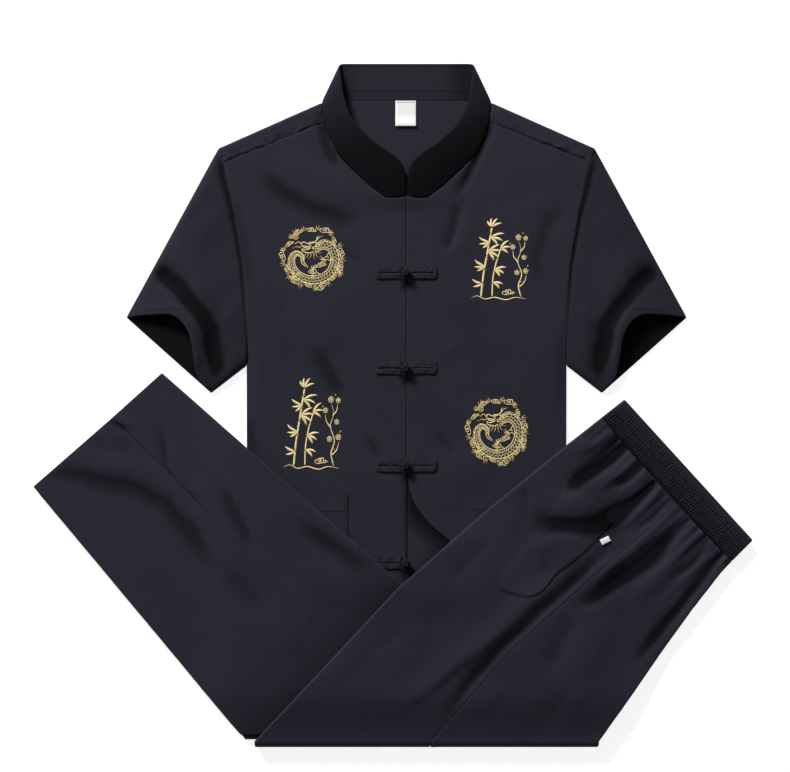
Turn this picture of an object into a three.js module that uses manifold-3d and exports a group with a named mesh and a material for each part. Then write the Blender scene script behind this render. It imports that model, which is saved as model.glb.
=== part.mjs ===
import * as THREE from "three";
import Module from "manifold-3d";
import { mergeVertices } from "three/addons/utils/BufferGeometryUtils.js";

// A two-piece Tang suit laid flat, face up: the short-sleeved jacket with its collar towards +Y, and the
// trousers, folded leg on leg and then across, in a V over its lower part. Millimetres, the floor is z = 0.

// Cloth
const clothWall = 1.4;
const collarWall = 1.8;
const patchWall = 1.2;
const labelWall = 1;
const seamGap = 0.3;
const layerGap = 0.9;

// Jacket
const jacketAxis = 17;
const bodyHalfWidth = 199.5;
const hemY = -347;
const chestRise = 2.6;
const jacketFlatTop = 2 * clothWall + seamGap;
const pocketTop = jacketFlatTop + seamGap + patchWall;

// Frogs
const frogPlaces = [165, 46, -76, -198];
const frogReach = 38;
const frogInner = 6.8;
const cordHalfWidth = 4;
const cordHeight = 4.4;
const cordSpacing = 4.3;
const knotRadius = 6;

// Trousers
const legStack = 7.5;
const foldY = -427.5;
const foldRadius = legStack + layerGap / 2;
const foldAxisY = foldY + foldRadius;
const slabTop = legStack - clothWall - layerGap;
const edgeRadius = 3;
const edgeDrop = 3.4;
const bandDepth = 37;
const bandRibs = 26;
const bandChannels = 3;

const { smoothstep, lerp, clamp } = THREE.MathUtils;
const point = (x, y, z) => new THREE.Vector3(x, y, z);
const flat = (x, y) => new THREE.Vector2(x, y);
const steps = (count) => Array.from({ length: count + 1 }, (_, index) => index / count);
const pairs = (rows) => rows.map(([x, y]) => flat(x, y));

// Curves: broken lines and smooth ones, both measured by length

const stretches = (points) => points.slice(1).map((p, index) => p.distanceTo(points[index]));
const lengthOf = (points) => stretches(points).reduce((sum, length) => sum + length, 0);

function brokenLine(points) {
  const lengths = stretches(points);
  const total = lengthOf(points);
  return (t) => {
    let left = t * total;
    let index = 0;
    while (index < lengths.length - 1 && left > lengths[index]) {
      left -= lengths[index];
      index += 1;
    }
    return points[index].clone().lerp(points[index + 1], left / lengths[index]);
  };
}

const shareAtCorner = (points, corner) => lengthOf(points.slice(0, corner + 1)) / lengthOf(points);

function smoothLine(points) {
  const curve = new THREE.SplineCurve(points);
  return (t) => curve.getPointAt(clamp(t, 0, 1));
}

// A four-sided piece of cloth seen from above, from the curves of its sides
function fourSided({ start, finish, left, right }) {
  const corners = [start(0), start(1), finish(0), finish(1)];
  return (u, v) => {
    const across = start(u).multiplyScalar(1 - v).addScaledVector(finish(u), v);
    const along = left(v).multiplyScalar(1 - u).addScaledVector(right(v), u);
    return across
      .add(along)
      .addScaledVector(corners[0], -(1 - u) * (1 - v))
      .addScaledVector(corners[1], -u * (1 - v))
      .addScaledVector(corners[2], -(1 - u) * v)
      .addScaledVector(corners[3], -u * v);
  };
}

// Solids

function solidFrom(positions, faces) {
  const geometry = new THREE.BufferGeometry();
  let volume = 0;
  const corner = (index) => point(...positions.slice(3 * index, 3 * index + 3));
  for (let index = 0; index < faces.length; index += 3) {
    const [a, b, c] = faces.slice(index, index + 3).map(corner);
    volume += a.dot(b.cross(c));
  }
  const ordered = volume > 0 ? faces : faces.slice().reverse();
  geometry.setAttribute("position", new THREE.Float32BufferAttribute(positions, 3));
  geometry.setIndex(ordered);
  geometry.computeVertexNormals();
  return geometry;
}

// A closed wall between an outer and an inner grid of points; around closes each row on itself
function gridWall(outer, inner, around = false) {
  const rows = outer.length;
  const columns = outer[0].length;
  const positions = [outer, inner].flat(2).flatMap((p) => [p.x, p.y, p.z]);
  const at = (side, row, column) => (side * rows + row) * columns + (column % columns);
  const faces = [];
  const quad = (a, b, c, d) => faces.push(a, b, c, a, c, d);
  const spans = around ? columns : columns - 1;
  const last = rows - 1;
  for (let i = 0; i < spans; i += 1) {
    for (let j = 0; j < last; j += 1) {
      quad(at(0, j, i), at(0, j, i + 1), at(0, j + 1, i + 1), at(0, j + 1, i));
      quad(at(1, j, i), at(1, j + 1, i), at(1, j + 1, i + 1), at(1, j, i + 1));
    }
    quad(at(0, 0, i), at(1, 0, i), at(1, 0, i + 1), at(0, 0, i + 1));
    quad(at(0, last, i), at(0, last, i + 1), at(1, last, i + 1), at(1, last, i));
  }
  if (!around) {
    for (let j = 0; j < last; j += 1) {
      quad(at(0, j, 0), at(0, j + 1, 0), at(1, j + 1, 0), at(1, j, 0));
      quad(at(0, j, spans), at(1, j, spans), at(1, j + 1, spans), at(0, j + 1, spans));
    }
  }
  return solidFrom(positions, faces);
}

function normalOf(surface, u, v) {
  const reach = 0.004;
  const alongU = surface(Math.min(u + reach, 1), v).sub(surface(Math.max(u - reach, 0), v));
  const alongV = surface(u, Math.min(v + reach, 1)).sub(surface(u, Math.max(v - reach, 0)));
  return alongU.cross(alongV).normalize();
}

// A wall behind a surface given over u and v, which faces up at one known place; relief raises its outer
// points alone
function wallInside(surface, across, along, wall, facesUpAt, relief = () => 0) {
  const facing = Math.sign(normalOf(surface, facesUpAt.u, facesUpAt.v).z);
  const normals = along.map((v) => across.map((u) => normalOf(surface, u, v).multiplyScalar(facing)));
  const middle = along.map((v) => across.map((u) => surface(u, v)));
  const shifted = (distance) =>
    middle.map((row, j) => row.map((p, i) => p.clone().addScaledVector(normals[j][i], distance(i, j))));
  const outer = shifted((i, j) => relief(across[i], along[j]));
  return gridWall(outer, shifted(() => -wall));
}

function clothSheet(surface, across, along, wall, relief) {
  return wallInside(surface, across, along, wall, { u: 0.5, v: 0.4 }, relief);
}

// Soft folds: a row for each, from one end to the other, with its half width and its rise

function foldColumns(rows) {
  return rows.map(([x0, y0, x1, y1, width, rise]) => ({ x0, y0, x1, y1, width, rise }));
}

const jacketFolds = foldColumns([
  [-69, 354, -52, 300, 9, 1.3],
  [-137, 287, -62, 240, 20, -1.4],
  [-160, 131, -112, 94, 13, 1.2],
  [-99, 94, -43, 6, 17, -1.3],
  [132, 350, 94, 275, 11, -1.2],
  [101, 256, 86, 181, 12, -1.2],
  [207, 237, 194, 181, 14, -1.4],
  [82, -60, 110, -125, 15, 1.2],
]);

const lowerLegFolds = foldColumns([
  [-422, -88, -330, -103, 16, -1.5],
  [-330, -103, -250, -160, 15, -1.5],
  [-250, -160, -166, -244, 16, -1.3],
  [-286, -54, -232, -134, 9, 1.6],
  [-210, -104, -172, -174, 13, -1.2],
  [-106, -150, -40, -204, 14, -1.2],
  [-300, -210, -210, -300, 18, 1.2],
]);

const upperLegFolds = foldColumns([
  [288, -161, 201, -263, 9, 2.4],
  [201, -263, 90, -318, 10, 2.2],
  [90, -318, 31, -374, 10, 1.6],
  [176, -140, 272, -153, 12, -1.4],
  [330, -190, 268, -262, 15, 1.8],
  [366, -235, 290, -330, 16, -1.4],
  [262, -290, 190, -368, 15, 1.6],
  [140, -345, 96, -392, 13, -1.2],
  [210, -300, 150, -360, 13, -1.3],
  [60, -230, 10, -290, 18, 1.2],
]);

function foldHeight(folds, x, y) {
  return folds.reduce((total, { x0, y0, x1, y1, width, rise }) => {
    const length = Math.hypot(x1 - x0, y1 - y0);
    const along = ((x - x0) * (x1 - x0) + (y - y0) * (y1 - y0)) / length;
    const aside = ((x - x0) * (y1 - y0) - (y - y0) * (x1 - x0)) / length;
    const past = Math.max(-along, along - length, 0);
    return total + rise * Math.exp(-((aside / width) ** 2) - (past / (1.6 * width)) ** 2);
  }, 0);
}

// Edges of the folded trousers, seen from above

const upperLeftEdge = pairs([[289.4, 6.9], [216.3, -50], [112, -135], [7.1, -225.9], [-173.4, -419.8]]);
const lowerRightEdge = pairs([[450, -169.4], [410.8, -208.8], [373.4, -256.8], [257, -419.8]]);
const upperSideSeam = pairs([[381.3, -100], [315, -158.8], [258.8, -206.3], [148.8, -302.5], [46, -419.8]]);
const lowerLeftEdge = pairs([[-450, -102.5], [-185.2, -419.8]]);
const upperRightEdge = pairs([[-288.8, 40], [6.3, -218.8], [243.5, -419.8]]);
const lowerSideSeam = pairs([[-351, -16], [-276.3, -87.5], [-182.5, -187.5], [-82.5, -290], [50, -419.8]]);

// Signed distance from the line through two points, positive on its left
function asideOf([first, second], x, y) {
  const length = first.distanceTo(second);
  return ((second.x - first.x) * (y - first.y) - (second.y - first.y) * (x - first.x)) / length;
}

const lowerPartLine = [upperRightEdge[0], upperRightEdge[2]];
const clearOfLowerPart = (x, y) => asideOf(lowerPartLine, x, y);
const clearOfUpperPart = (x, y) => Math.max(
  asideOf([upperLeftEdge[3], upperLeftEdge[0]], x, y),
  asideOf([upperLeftEdge[4], upperLeftEdge[3]], x, y),
);
const outside = (x, y, lowX, highX, lowY, highY) =>
  Math.hypot(Math.max(lowX - x, x - highX, 0), Math.max(lowY - y, y - highY, 0));
const rampDown = (distance, near, far) => 1 - smoothstep(distance, near, far);

// Heights of the tops, from the floor up

function jacketTop(x, y) {
  const shown = smoothstep(Math.min(clearOfLowerPart(x, y), clearOfUpperPart(x, y)), 8, 70);
  const chest = chestRise * smoothstep(y, -60, 120);
  return jacketFlatTop + chest + shown * (0.9 + Math.max(foldHeight(jacketFolds, x, y), -0.9 - chest / 2));
}

function underLowerPart(x, y) {
  const left = jacketAxis - bodyHalfWidth;
  const right = jacketAxis + bodyHalfWidth;
  const onJacket = (pocketTop + seamGap) * rampDown(outside(x, y, left, right, hemY, 300), 8, 78);
  const frogRise = jacketFlatTop + seamGap + cordHeight - pocketTop;
  const onFrog = frogRise * rampDown(outside(x, y, -24, 98, -210, -187), 10, 62);
  return onJacket + onFrog;
}

function lowerPartTop(x, y) {
  const shown = smoothstep(clearOfUpperPart(x, y), 10, 70);
  const folds = 1.4 + Math.max(foldHeight(lowerLegFolds, x, y), -1.4);
  return underLowerPart(x, y) + legStack + shown * folds;
}

function underUpperPart(x, y) {
  const onLowerPart = (legStack + layerGap) * rampDown(clearOfLowerPart(x, y), 20, 160);
  return underLowerPart(x, y) + onLowerPart;
}

// The lowest hidden layer follows the lower part's edge more closely than the panels on top do
function underUpperSlab(x, y) {
  const onLowerPart = (legStack + layerGap) * rampDown(clearOfLowerPart(x, y), 20, 80);
  return underLowerPart(x, y) + onLowerPart;
}

// The panel lies smooth under its pocket
const pocketMiddle = flat(190, -167);
const pocketAlong = flat(-0.724, -0.69);

function besidePocket(x, y) {
  const fromMiddle = flat(x, y).sub(pocketMiddle);
  const along = Math.abs(fromMiddle.dot(pocketAlong));
  const aside = Math.abs(fromMiddle.cross(pocketAlong));
  return smoothstep(Math.max(along - 92, aside - 46), 0, 16);
}

// The gathers fan out below the waistband and die away down the leg
const gathers = [
  [0.03, 40], [0.1, 65], [0.155, 90], [0.22, 55], [0.28, 120], [0.35, 60], [0.405, 85], [0.47, 45],
  [0.54, 110], [0.6, 130], [0.66, 70], [0.73, 95], [0.79, 150], [0.85, 60], [0.91, 100], [0.97, 45],
].map(([place, length]) => ({ place, length }));
const gatherRise = 2.6;
const gatherHalfWidth = 0.021;
const waistStart = upperLeftEdge[0];
const waistEnd = lowerRightEdge[0];
const waistWidth = waistStart.distanceTo(waistEnd);

function gatherHeight(x, y) {
  const alongWaist = waistEnd.clone().sub(waistStart).divideScalar(waistWidth);
  const share = ((x - waistStart.x) * alongWaist.x + (y - waistStart.y) * alongWaist.y) / waistWidth;
  const depth = asideOf([waistEnd, waistStart], x, y) - bandDepth;
  return gathers.reduce((total, { place, length }) => {
    const ridge = Math.exp(-(((share - place) / gatherHalfWidth) ** 2));
    return total + gatherRise * ridge * Math.exp(-Math.max(depth, 0) / (0.6 * length));
  }, 0);
}

function upperPartTop(x, y) {
  const shown = smoothstep(y - foldAxisY, 4, 60);
  const relief = (foldHeight(upperLegFolds, x, y) + gatherHeight(x, y)) * besidePocket(x, y);
  return underUpperPart(x, y) + legStack + shown * (1.4 + Math.max(relief, -1.4));
}

// Collar: a row for each section from the centre front round to the middle of the back. Offsets are from
// the centre front line; the seam is the sewn edge and the rim the free one.
const collarRows = [
  [0.3, 262, 6, 2.6, 297, 9],
  [13, 259.5, 6.2, 7, 303, 10.5],
  [26, 260, 6.4, 12, 308.5, 11.5],
  [45, 274, 6.8, 24, 317.5, 12.5],
  [69, 296, 7, 37, 326, 13.5],
  [85, 312, 7, 48, 335.5, 14],
  [97, 336, 7, 58, 348, 14.5],
  [103, 354, 7, 66, 365, 14.5],
  [105, 366, 6.8, 72.5, 386, 13.5],
  [105.8, 374, 6.2, 78.5, 407, 12],
  [106, 379.6, 3.6, 83.5, 423, 7],
  [104, 382.2, 0.7, 82.5, 427, 1.8],
  [97, 382.4, 0, 76, 427.5, 0],
  [60, 382.4, 0, 50, 427.5, 0],
  [20, 382.4, 0, 17, 427.5, 0],
].map(([seamX, seamY, seamZ, rimX, rimY, rimZ]) => ({
  seam: point(seamX, seamY, seamZ),
  rim: point(rimX, rimY, rimZ),
}));
const shoulderStation = 7;
const fold = { neckX: 107, neckY: 378.2, tipX: 236, tipY: 321 };
const armhole = pairs([[200.4, 49], [200.4, 118], [205, 178], [215, 238], [224.5, 281], [229.6, 304]]);

// The neck edge of the cloth, a little outside the collar's seam
const neckClearance = 0.85;
const neckEdge = collarRows.slice(0, shoulderStation + 1).map((row, index, rows) => {
  const before = rows[Math.max(index - 1, 0)].seam;
  const after = rows[Math.min(index + 1, rows.length - 1)].seam;
  const away = flat(after.y - before.y, before.x - after.x).normalize();
  const moved = flat(row.seam.x, row.seam.y).addScaledVector(away, neckClearance);
  return flat(Math.max(moved.x, seamGap / 2), moved.y);
});

function collar() {
  const half = collarRows.slice().reverse();
  const mirrored = (p) => point(-p.x, p.y, p.z);
  const stations = [
    ...collarRows.map(({ seam, rim }) => ({ seam: mirrored(seam), rim: mirrored(rim) })),
    ...half,
  ];
  const seamCurve = new THREE.CatmullRomCurve3(stations.map(({ seam }) => seam), false, "centripetal");
  const rimCurve = new THREE.CatmullRomCurve3(stations.map(({ rim }) => rim), false, "centripetal");
  const surface = (u, v) => {
    const p = seamCurve.getPoint(u).lerp(rimCurve.getPoint(u), v);
    p.x += jacketAxis;
    p.z = Math.max(p.z + 1.2 * Math.sin(Math.PI * v) * smoothstep(p.z, 3, 7), 0);
    return p;
  };
  return wallInside(surface, steps(46), steps(3), collarWall, { u: 0.12, v: 0.5 });
}

// Jacket back: the flat panel, and its two shoulder pieces, which fold over to the front's seam

const stripStart = 3.6;

function backPanel() {
  const foldNeck = flat(fold.neckX, fold.neckY);
  const foldTip = flat(fold.tipX, fold.tipY);
  const inward = flat(foldTip.y - foldNeck.y, foldNeck.x - foldTip.x).normalize();
  const [topNeck, topTip] = [foldNeck, foldTip].map((p) => p.addScaledVector(inward, stripStart + seamGap));
  const half = [flat(95, 381.9), topNeck, topTip];
  const top = [...half.map((p) => flat(-p.x, p.y)).reverse(), ...half];
  const sideLine = [flat(bodyHalfWidth, hemY), ...armhole, topTip];
  const plan = fourSided({
    start: brokenLine([flat(-bodyHalfWidth, hemY), flat(bodyHalfWidth, hemY)]),
    finish: brokenLine(top),
    left: brokenLine(sideLine.map((p) => flat(-p.x, p.y))),
    right: brokenLine(sideLine),
  });
  const corners = [0, 1, 2, 3, 4, 5].map((corner) => shareAtCorner(top, corner));
  const across = [0, 0.13, corners[1], corners[2], 0.42, 0.5, 0.58, corners[3], corners[4], 0.87, 1];
  const bends = [1, 2, 3, 4, 5, 6].map((corner) => shareAtCorner(sideLine, corner));
  const along = [0, 0.2, 0.4, ...bends, 1];
  const surface = (u, v) => {
    const p = plan(u, v);
    return point(jacketAxis + p.x, p.y, clothWall);
  };
  return clothSheet(surface, across, along, clothWall);
}

function shoulderStrip(side) {
  const seamNeck = flat(collarRows[shoulderStation].seam.x + 0.6, collarRows[shoulderStation].seam.y + 0.3);
  const seamTip = flat(229.6, 304.2);
  const foldNeck = flat(fold.neckX, fold.neckY);
  const foldTip = flat(fold.tipX, fold.tipY);
  const bend = 3;
  const surface = (u, v) => {
    const foldPoint = foldNeck.clone().lerp(foldTip, u);
    const seamPoint = seamNeck.clone().lerp(seamTip, u);
    const inward = seamPoint.clone().sub(foldPoint);
    const reach = inward.length();
    inward.normalize();
    const place = (inset, z) => {
      const p = foldPoint.clone().addScaledVector(inward, inset);
      return point(jacketAxis + side * p.x, p.y, z);
    };
    const height = jacketTop(jacketAxis + side * seamPoint.x, seamPoint.y);
    if (v < 0.2) {
      return place(lerp(stripStart, bend, v / 0.2), 0);
    }
    if (v < 0.7) {
      const angle = Math.PI * ((v - 0.2) / 0.5 - 0.5);
      return place(bend * (1 - Math.cos(angle)), (height / 2) * (1 + Math.sin(angle)));
    }
    const inset = lerp(bend, reach, (v - 0.7) / 0.3);
    const middle = foldPoint.clone().addScaledVector(inward, inset);
    const top = jacketTop(jacketAxis + side * middle.x, middle.y);
    return place(inset, lerp(height, top, smoothstep(inset, bend, bend + 8)));
  };
  const along = [0, 0.2, 0.3, 0.38, 0.45, 0.52, 0.6, 0.7, 0.85, 1];
  const across = steps(6);
  return wallInside(surface, across, along, clothWall, { u: 0.5, v: 0.9 });
}

// Fronts: side is -1 for the wearer's right one and 1 for the wearer's left one, whose free edge swings
// away below the third frog
const swungEdge = smoothLine(pairs([
  [0.15, 262], [0.15, 160], [0.15, 60], [0.15, -40], [0.15, -82], [6, -112], [15, -131], [31, -151],
  [48, -168.5], [46, -184], [35, -200], [18, -228], [6, -266], [0.15, -300], [0.15, hemY],
]));

function frontPlan(side) {
  const straight = brokenLine([flat(seamGap / 2, hemY), flat(seamGap / 2, neckEdge[0].y)]);
  const swung = (v) => {
    const p = swungEdge(1 - v);
    return flat(Math.max(p.x, seamGap / 2), p.y);
  };
  const left = side > 0 ? swung : straight;
  const top = [...neckEdge, flat(229.4, 303.6)];
  top[0] = left(1);
  const sideLine = [flat(bodyHalfWidth, hemY), ...armhole.slice(0, -1), flat(229.4, 303.6)];
  const plan = fourSided({
    start: brokenLine([left(0), flat(bodyHalfWidth, hemY)]),
    finish: brokenLine(top),
    left,
    right: brokenLine(sideLine),
  });
  const neckShares = neckEdge.slice(1).map((_, index) => shareAtCorner(top, index + 1));
  const armholeShares = armhole.slice(0, -1).map((_, index) => shareAtCorner(sideLine, index + 1));
  return { plan, neckShares, armholeShares };
}

function frontPanel(side) {
  const { plan, neckShares, armholeShares } = frontPlan(side);
  const surface = (u, v) => {
    const p = plan(u, v);
    const x = jacketAxis + side * p.x;
    const top = jacketTop(x, p.y);
    const drop = (top - jacketFlatTop) * (1 - smoothstep(p.y, 40, 110)) * smoothstep(u, 0.9, 1) ** 2;
    return point(x, p.y, top - drop);
  };
  const across = [0, ...neckShares, 0.65, 0.76, 0.86, 0.95, 1];
  const belowArmhole = steps(11).map((t) => t * armholeShares[0]);
  const along = [...belowArmhole, 0.66, ...armholeShares.slice(1), 0.84, 0.92, 1].sort((a, b) => a - b);
  return clothSheet(surface, across, along, clothWall);
}

// Sleeves: flattened tubes whose upper layer arches back at the cuff, so that the mouth gapes
const cuffArch = pairs([[351, 110], [318, 113], [290, 111], [271, 87.5], [262, 37.5], [244.5, 15]]);
const cuffUpper = smoothLine(cuffArch);
const cuffLower = brokenLine(pairs([[351.6, 110], [244.5, 14.6]]));
const sleeveEnd = brokenLine([flat(fold.tipX, fold.tipY), ...armhole.slice().reverse()]);
const upperShares = [0.012, 0.04, 0.08, 0.16, 0.27, 0.4, 0.53, 0.66, 0.78, 0.88, 0.95, 0.985];
const lowerShares = [0.985, 0.85, 0.6, 0.35, 0.12, 0.015];

function sleeve(side) {
  const outward = flat(0.93, -0.37);
  const ring = (v, wall) => {
    const narrow = (share) => lerp(share, 0.5, wall ? 0.014 : 0);
    const place = (share, cuff, z) => {
      const begin = sleeveEnd(share).addScaledVector(outward, 0.7);
      const p = begin.lerp(cuff(share), v);
      return point(jacketAxis + side * p.x, p.y, z);
    };
    const height = (share) => {
      const begin = sleeveEnd(share);
      const atBody = jacketTop(jacketAxis + side * begin.x, begin.y);
      const atCuff = 4.6 + 10 * Math.sin(Math.PI * share) ** 1.4;
      const dip = 1.5 * Math.exp(-(((v - 0.55) / 0.16) ** 2)) * Math.sin(Math.PI * share);
      const full = lerp(atBody, atCuff, smoothstep(v, 0.25, 1)) + 2.2 * Math.sin(Math.PI * v) * share - dip;
      const near = clamp(Math.min(share, 1 - share) / 0.06, 0, 1);
      return 2.2 + (full - 2.2) * Math.sqrt(1 - (1 - near) ** 2);
    };
    const top = (share) => place(narrow(share), cuffUpper, Math.max(height(share) - wall, 1.6 + wall / 4));
    const edge = (share) => place(narrow(share), cuffUpper, 1.65);
    const bottom = (share) => place(narrow(share), cuffLower, wall);
    return [edge(0), ...upperShares.map(top), edge(1), ...lowerShares.map(bottom)];
  };
  const along = [0, 0.08, 0.2, 0.35, 0.5, 0.65, 0.8, 0.92, 1];
  return gridWall(along.map((v) => ring(v, 0)), along.map((v) => ring(v, clothWall)), true);
}

// Patches that lie on a panel, from its own surface moved out
function patchOn(plan, heightAt, across, along, wall, lift = () => 0) {
  const surface = (u, v) => {
    const p = plan(u, v);
    return point(p.x, p.y, heightAt(p.x, p.y) + seamGap + wall + lift(u, v));
  };
  const outer = along.map((v) => across.map((u) => surface(u, v)));
  return gridWall(outer, outer.map((row) => row.map((p) => point(p.x, p.y, p.z - wall))));
}

function jacketPocket(lowX, highX, mouthY) {
  const depth = 130;
  const corner = 14;
  const low = mouthY - depth;
  const sideFrom = (edgeX, inward) => smoothLine([
    flat(edgeX, mouthY),
    flat(edgeX, low + 2 * corner),
    flat(edgeX + 0.2 * inward * corner, low + 0.4 * corner),
    flat(edgeX + inward * corner, low),
  ]);
  const plan = fourSided({
    start: brokenLine([flat(lowX, mouthY), flat(highX, mouthY)]),
    finish: brokenLine([flat(lowX + corner, low), flat(highX - corner, low)]),
    left: sideFrom(lowX, 1),
    right: sideFrom(highX, -1),
  });
  return patchOn(plan, jacketTop, steps(5), steps(8), patchWall);
}

function neckLabel() {
  const plan = fourSided({
    start: brokenLine([flat(3, 381.2), flat(28.6, 381.2)]),
    finish: brokenLine([flat(3, 349.6), flat(28.6, 349.6)]),
    left: brokenLine([flat(3, 381.2), flat(3, 349.6)]),
    right: brokenLine([flat(28.6, 381.2), flat(28.6, 349.6)]),
  });
  return patchOn(plan, () => clothWall, steps(2), steps(3), labelWall);
}

// Frogs: each strap is a cord that goes out, turns and comes back beside itself; the knot joins two straps

function frogStrap(centreX, centreY, side) {
  const inner = frogInner;
  const outer = frogReach - cordSpacing;
  const turn = steps(4).map((t) => {
    const angle = Math.PI * (0.5 - t);
    return { at: flat(outer + cordSpacing * Math.cos(angle), cordSpacing * Math.sin(angle)), away: angle };
  });
  const stations = [
    { at: flat(inner, cordSpacing), away: Math.PI / 2 },
    { at: flat((inner + outer) / 2, cordSpacing), away: Math.PI / 2 },
    ...turn,
    { at: flat((inner + outer) / 2, -cordSpacing), away: -Math.PI / 2 },
    { at: flat(inner, -cordSpacing), away: -Math.PI / 2 },
  ];
  const section = [[-1, 0.35], [-0.7, 0.8], [0, 1], [0.7, 0.8], [1, 0.35], [0.75, 0], [-0.75, 0]];
  const rings = stations.map(({ at, away }) => section.map(([aside, up]) => {
    const x = centreX + side * (at.x + aside * cordHalfWidth * Math.cos(away));
    const y = centreY + at.y + aside * cordHalfWidth * Math.sin(away);
    return point(x, y, jacketTop(x, y) + seamGap + up * cordHeight);
  }));
  const sides = section.length;
  const faces = [];
  for (let j = 0; j < rings.length - 1; j += 1) {
    for (let i = 0; i < sides; i += 1) {
      const next = (i + 1) % sides;
      faces.push(j * sides + i, j * sides + next, (j + 1) * sides + next);
      faces.push(j * sides + i, (j + 1) * sides + next, (j + 1) * sides + i);
    }
  }
  const end = (rings.length - 1) * sides;
  for (let i = 1; i < sides - 1; i += 1) {
    faces.push(0, i + 1, i);
    faces.push(end, end + i, end + i + 1);
  }
  return solidFrom(rings.flat().flatMap((p) => [p.x, p.y, p.z]), faces);
}

function knotButton(y) {
  const height = 10;
  const geometry = new THREE.SphereGeometry(1, 10, 7);
  geometry.scale(knotRadius, height / 2, knotRadius);
  geometry.rotateX(Math.PI / 2);
  const top = Math.max(...[-knotRadius, 0, knotRadius].map((away) => jacketTop(jacketAxis, y + away)));
  geometry.translate(jacketAxis - 1, y, top + seamGap + height / 2);
  return geometry;
}

// Trousers

// The share of a panel's width that is its rolled edge, and of its length that lies before the cross fold
const rollShare = 0.16;
const bodyShare = 0.86;

function legPanel({ edge, seam, heightAt, seamSide, roundsFold, endY }) {
  const plan = fourSided({
    start: brokenLine([edge(0), seam(0)]),
    finish: brokenLine([edge(1), seam(1)]),
    left: edge,
    right: seam,
  });
  const foldShare = roundsFold ? bodyShare : 1;
  return (u, v) => {
    const width = edge(Math.min(v / foldShare, 1)).distanceTo(seam(Math.min(v / foldShare, 1)));
    const angle = (Math.min(u / rollShare, 1) * Math.PI) / 2;
    const inset = edgeRadius * (1 - Math.cos(angle));
    const drop = edgeDrop * (1 - Math.sin(angle));
    const flatShare = u < rollShare ? 0 : (u - rollShare) / (1 - rollShare);
    const share = lerp(inset / width, 1 - seamSide / width, flatShare);
    const p = plan(share, Math.min(v / foldShare, 1));
    if (v <= foldShare) {
      return point(p.x, p.y, heightAt(p.x, p.y) - drop);
    }
    const bend = Math.PI / 2 - ((v - foldShare) / (1 - foldShare)) * (Math.PI * 0.94);
    const radius = foldRadius - drop;
    return point(p.x, endY - radius * Math.cos(bend), foldRadius + radius * Math.sin(bend));
  };
}

function trimmed(points, fromStart, endY) {
  const line = brokenLine(points);
  const last = points[points.length - 1];
  const before = points[points.length - 2];
  const finish = before.clone().lerp(last, (endY - before.y) / (last.y - before.y));
  return brokenLine([line(fromStart / lengthOf(points)), ...points.slice(1, -1), finish]);
}

function acrossLeg(count) {
  const beyondRoll = steps(count).map((t) => lerp(rollShare, 1, t));
  return [0, rollShare / 3, (2 * rollShare) / 3, ...beyondRoll];
}

const lowerPanelEnd = foldAxisY + 7;

function lowerLegPanel(edge) {
  const surface = legPanel({
    edge: trimmed(edge, 0, lowerPanelEnd),
    seam: trimmed(lowerSideSeam, 0, lowerPanelEnd),
    heightAt: lowerPartTop,
    seamSide: seamGap / 2,
    roundsFold: false,
    endY: foldAxisY,
  });
  return clothSheet(surface, acrossLeg(6), steps(22), clothWall);
}

function upperLegPanel(edge) {
  const surface = legPanel({
    edge: trimmed(edge, bandDepth + seamGap, foldAxisY),
    seam: trimmed(upperSideSeam, bandDepth + seamGap, foldAxisY),
    heightAt: upperPartTop,
    seamSide: seamGap / 2,
    roundsFold: true,
    endY: foldAxisY,
  });
  const body = steps(15).map((t) => bodyShare * t ** 1.2);
  const roll = [0.895, 0.93, 0.965, 1];
  return clothSheet(surface, acrossLeg(12), [...body, ...roll], clothWall);
}

function waistband() {
  const left = trimmed(upperLeftEdge, 0, foldAxisY);
  const right = trimmed(lowerRightEdge, 0, foldAxisY);
  const leftDepth = bandDepth / lengthOf(upperLeftEdge);
  const rightDepth = bandDepth / lengthOf(lowerRightEdge);
  const endRoll = 0.025;
  const surface = (u, v) => {
    const nearEnd = Math.min(u, 1 - u);
    const angle = (clamp(nearEnd / endRoll, 0, 1) * Math.PI) / 2;
    const inset = (edgeRadius * (1 - Math.cos(angle))) / waistWidth;
    const flatShare = clamp((nearEnd - endRoll) / (0.5 - endRoll), 0, 1);
    const half = lerp(inset, 0.5, flatShare);
    const share = u < 0.5 ? half : 1 - half;
    const p = left(v * leftDepth).lerp(right(v * rightDepth), share);
    const drop = (edgeDrop + 0.6) * (1 - Math.sin(angle));
    return point(p.x, p.y, underUpperPart(p.x, p.y) + legStack + 1.2 - drop);
  };
  const flatColumns = steps(2 * bandRibs).map((t) => lerp(endRoll, 1 - endRoll, t));
  const across = [0, endRoll / 2, ...flatColumns, 1 - endRoll / 2, 1];
  const smoothEdge = 0.27;
  const shirringEnd = 0.97;
  const channelRows = steps(2 * bandChannels).map((t) => lerp(smoothEdge, shirringEnd, t));
  const along = [0, smoothEdge / 2, ...channelRows, 1];
  const relief = (u, v) => {
    const column = Math.round(((u - endRoll) / (1 - 2 * endRoll)) * 2 * bandRibs);
    const rib = column % 2 === 0 ? 1 : 0;
    const channel = Math.round(((v - smoothEdge) / (shirringEnd - smoothEdge)) * 2 * bandChannels);
    const puffed = channel >= 0 && channel % 2 === 1 ? 1 : 0.25;
    const pastEdge = smoothstep(v, smoothEdge * 0.6, smoothEdge * 1.1);
    const inShirring = pastEdge * smoothstep(Math.min(u, 1 - u), 0, endRoll);
    return inShirring * puffed * (0.5 + 1.1 * rib) + 0.5 * (1 - inShirring);
  };
  return clothSheet(surface, across, along, clothWall, relief);
}

// The layers hidden under the panels, as one rounded solid: a slab for each part, grooved between the
// layers round its edge, joined by a nose that fills the fold

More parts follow.
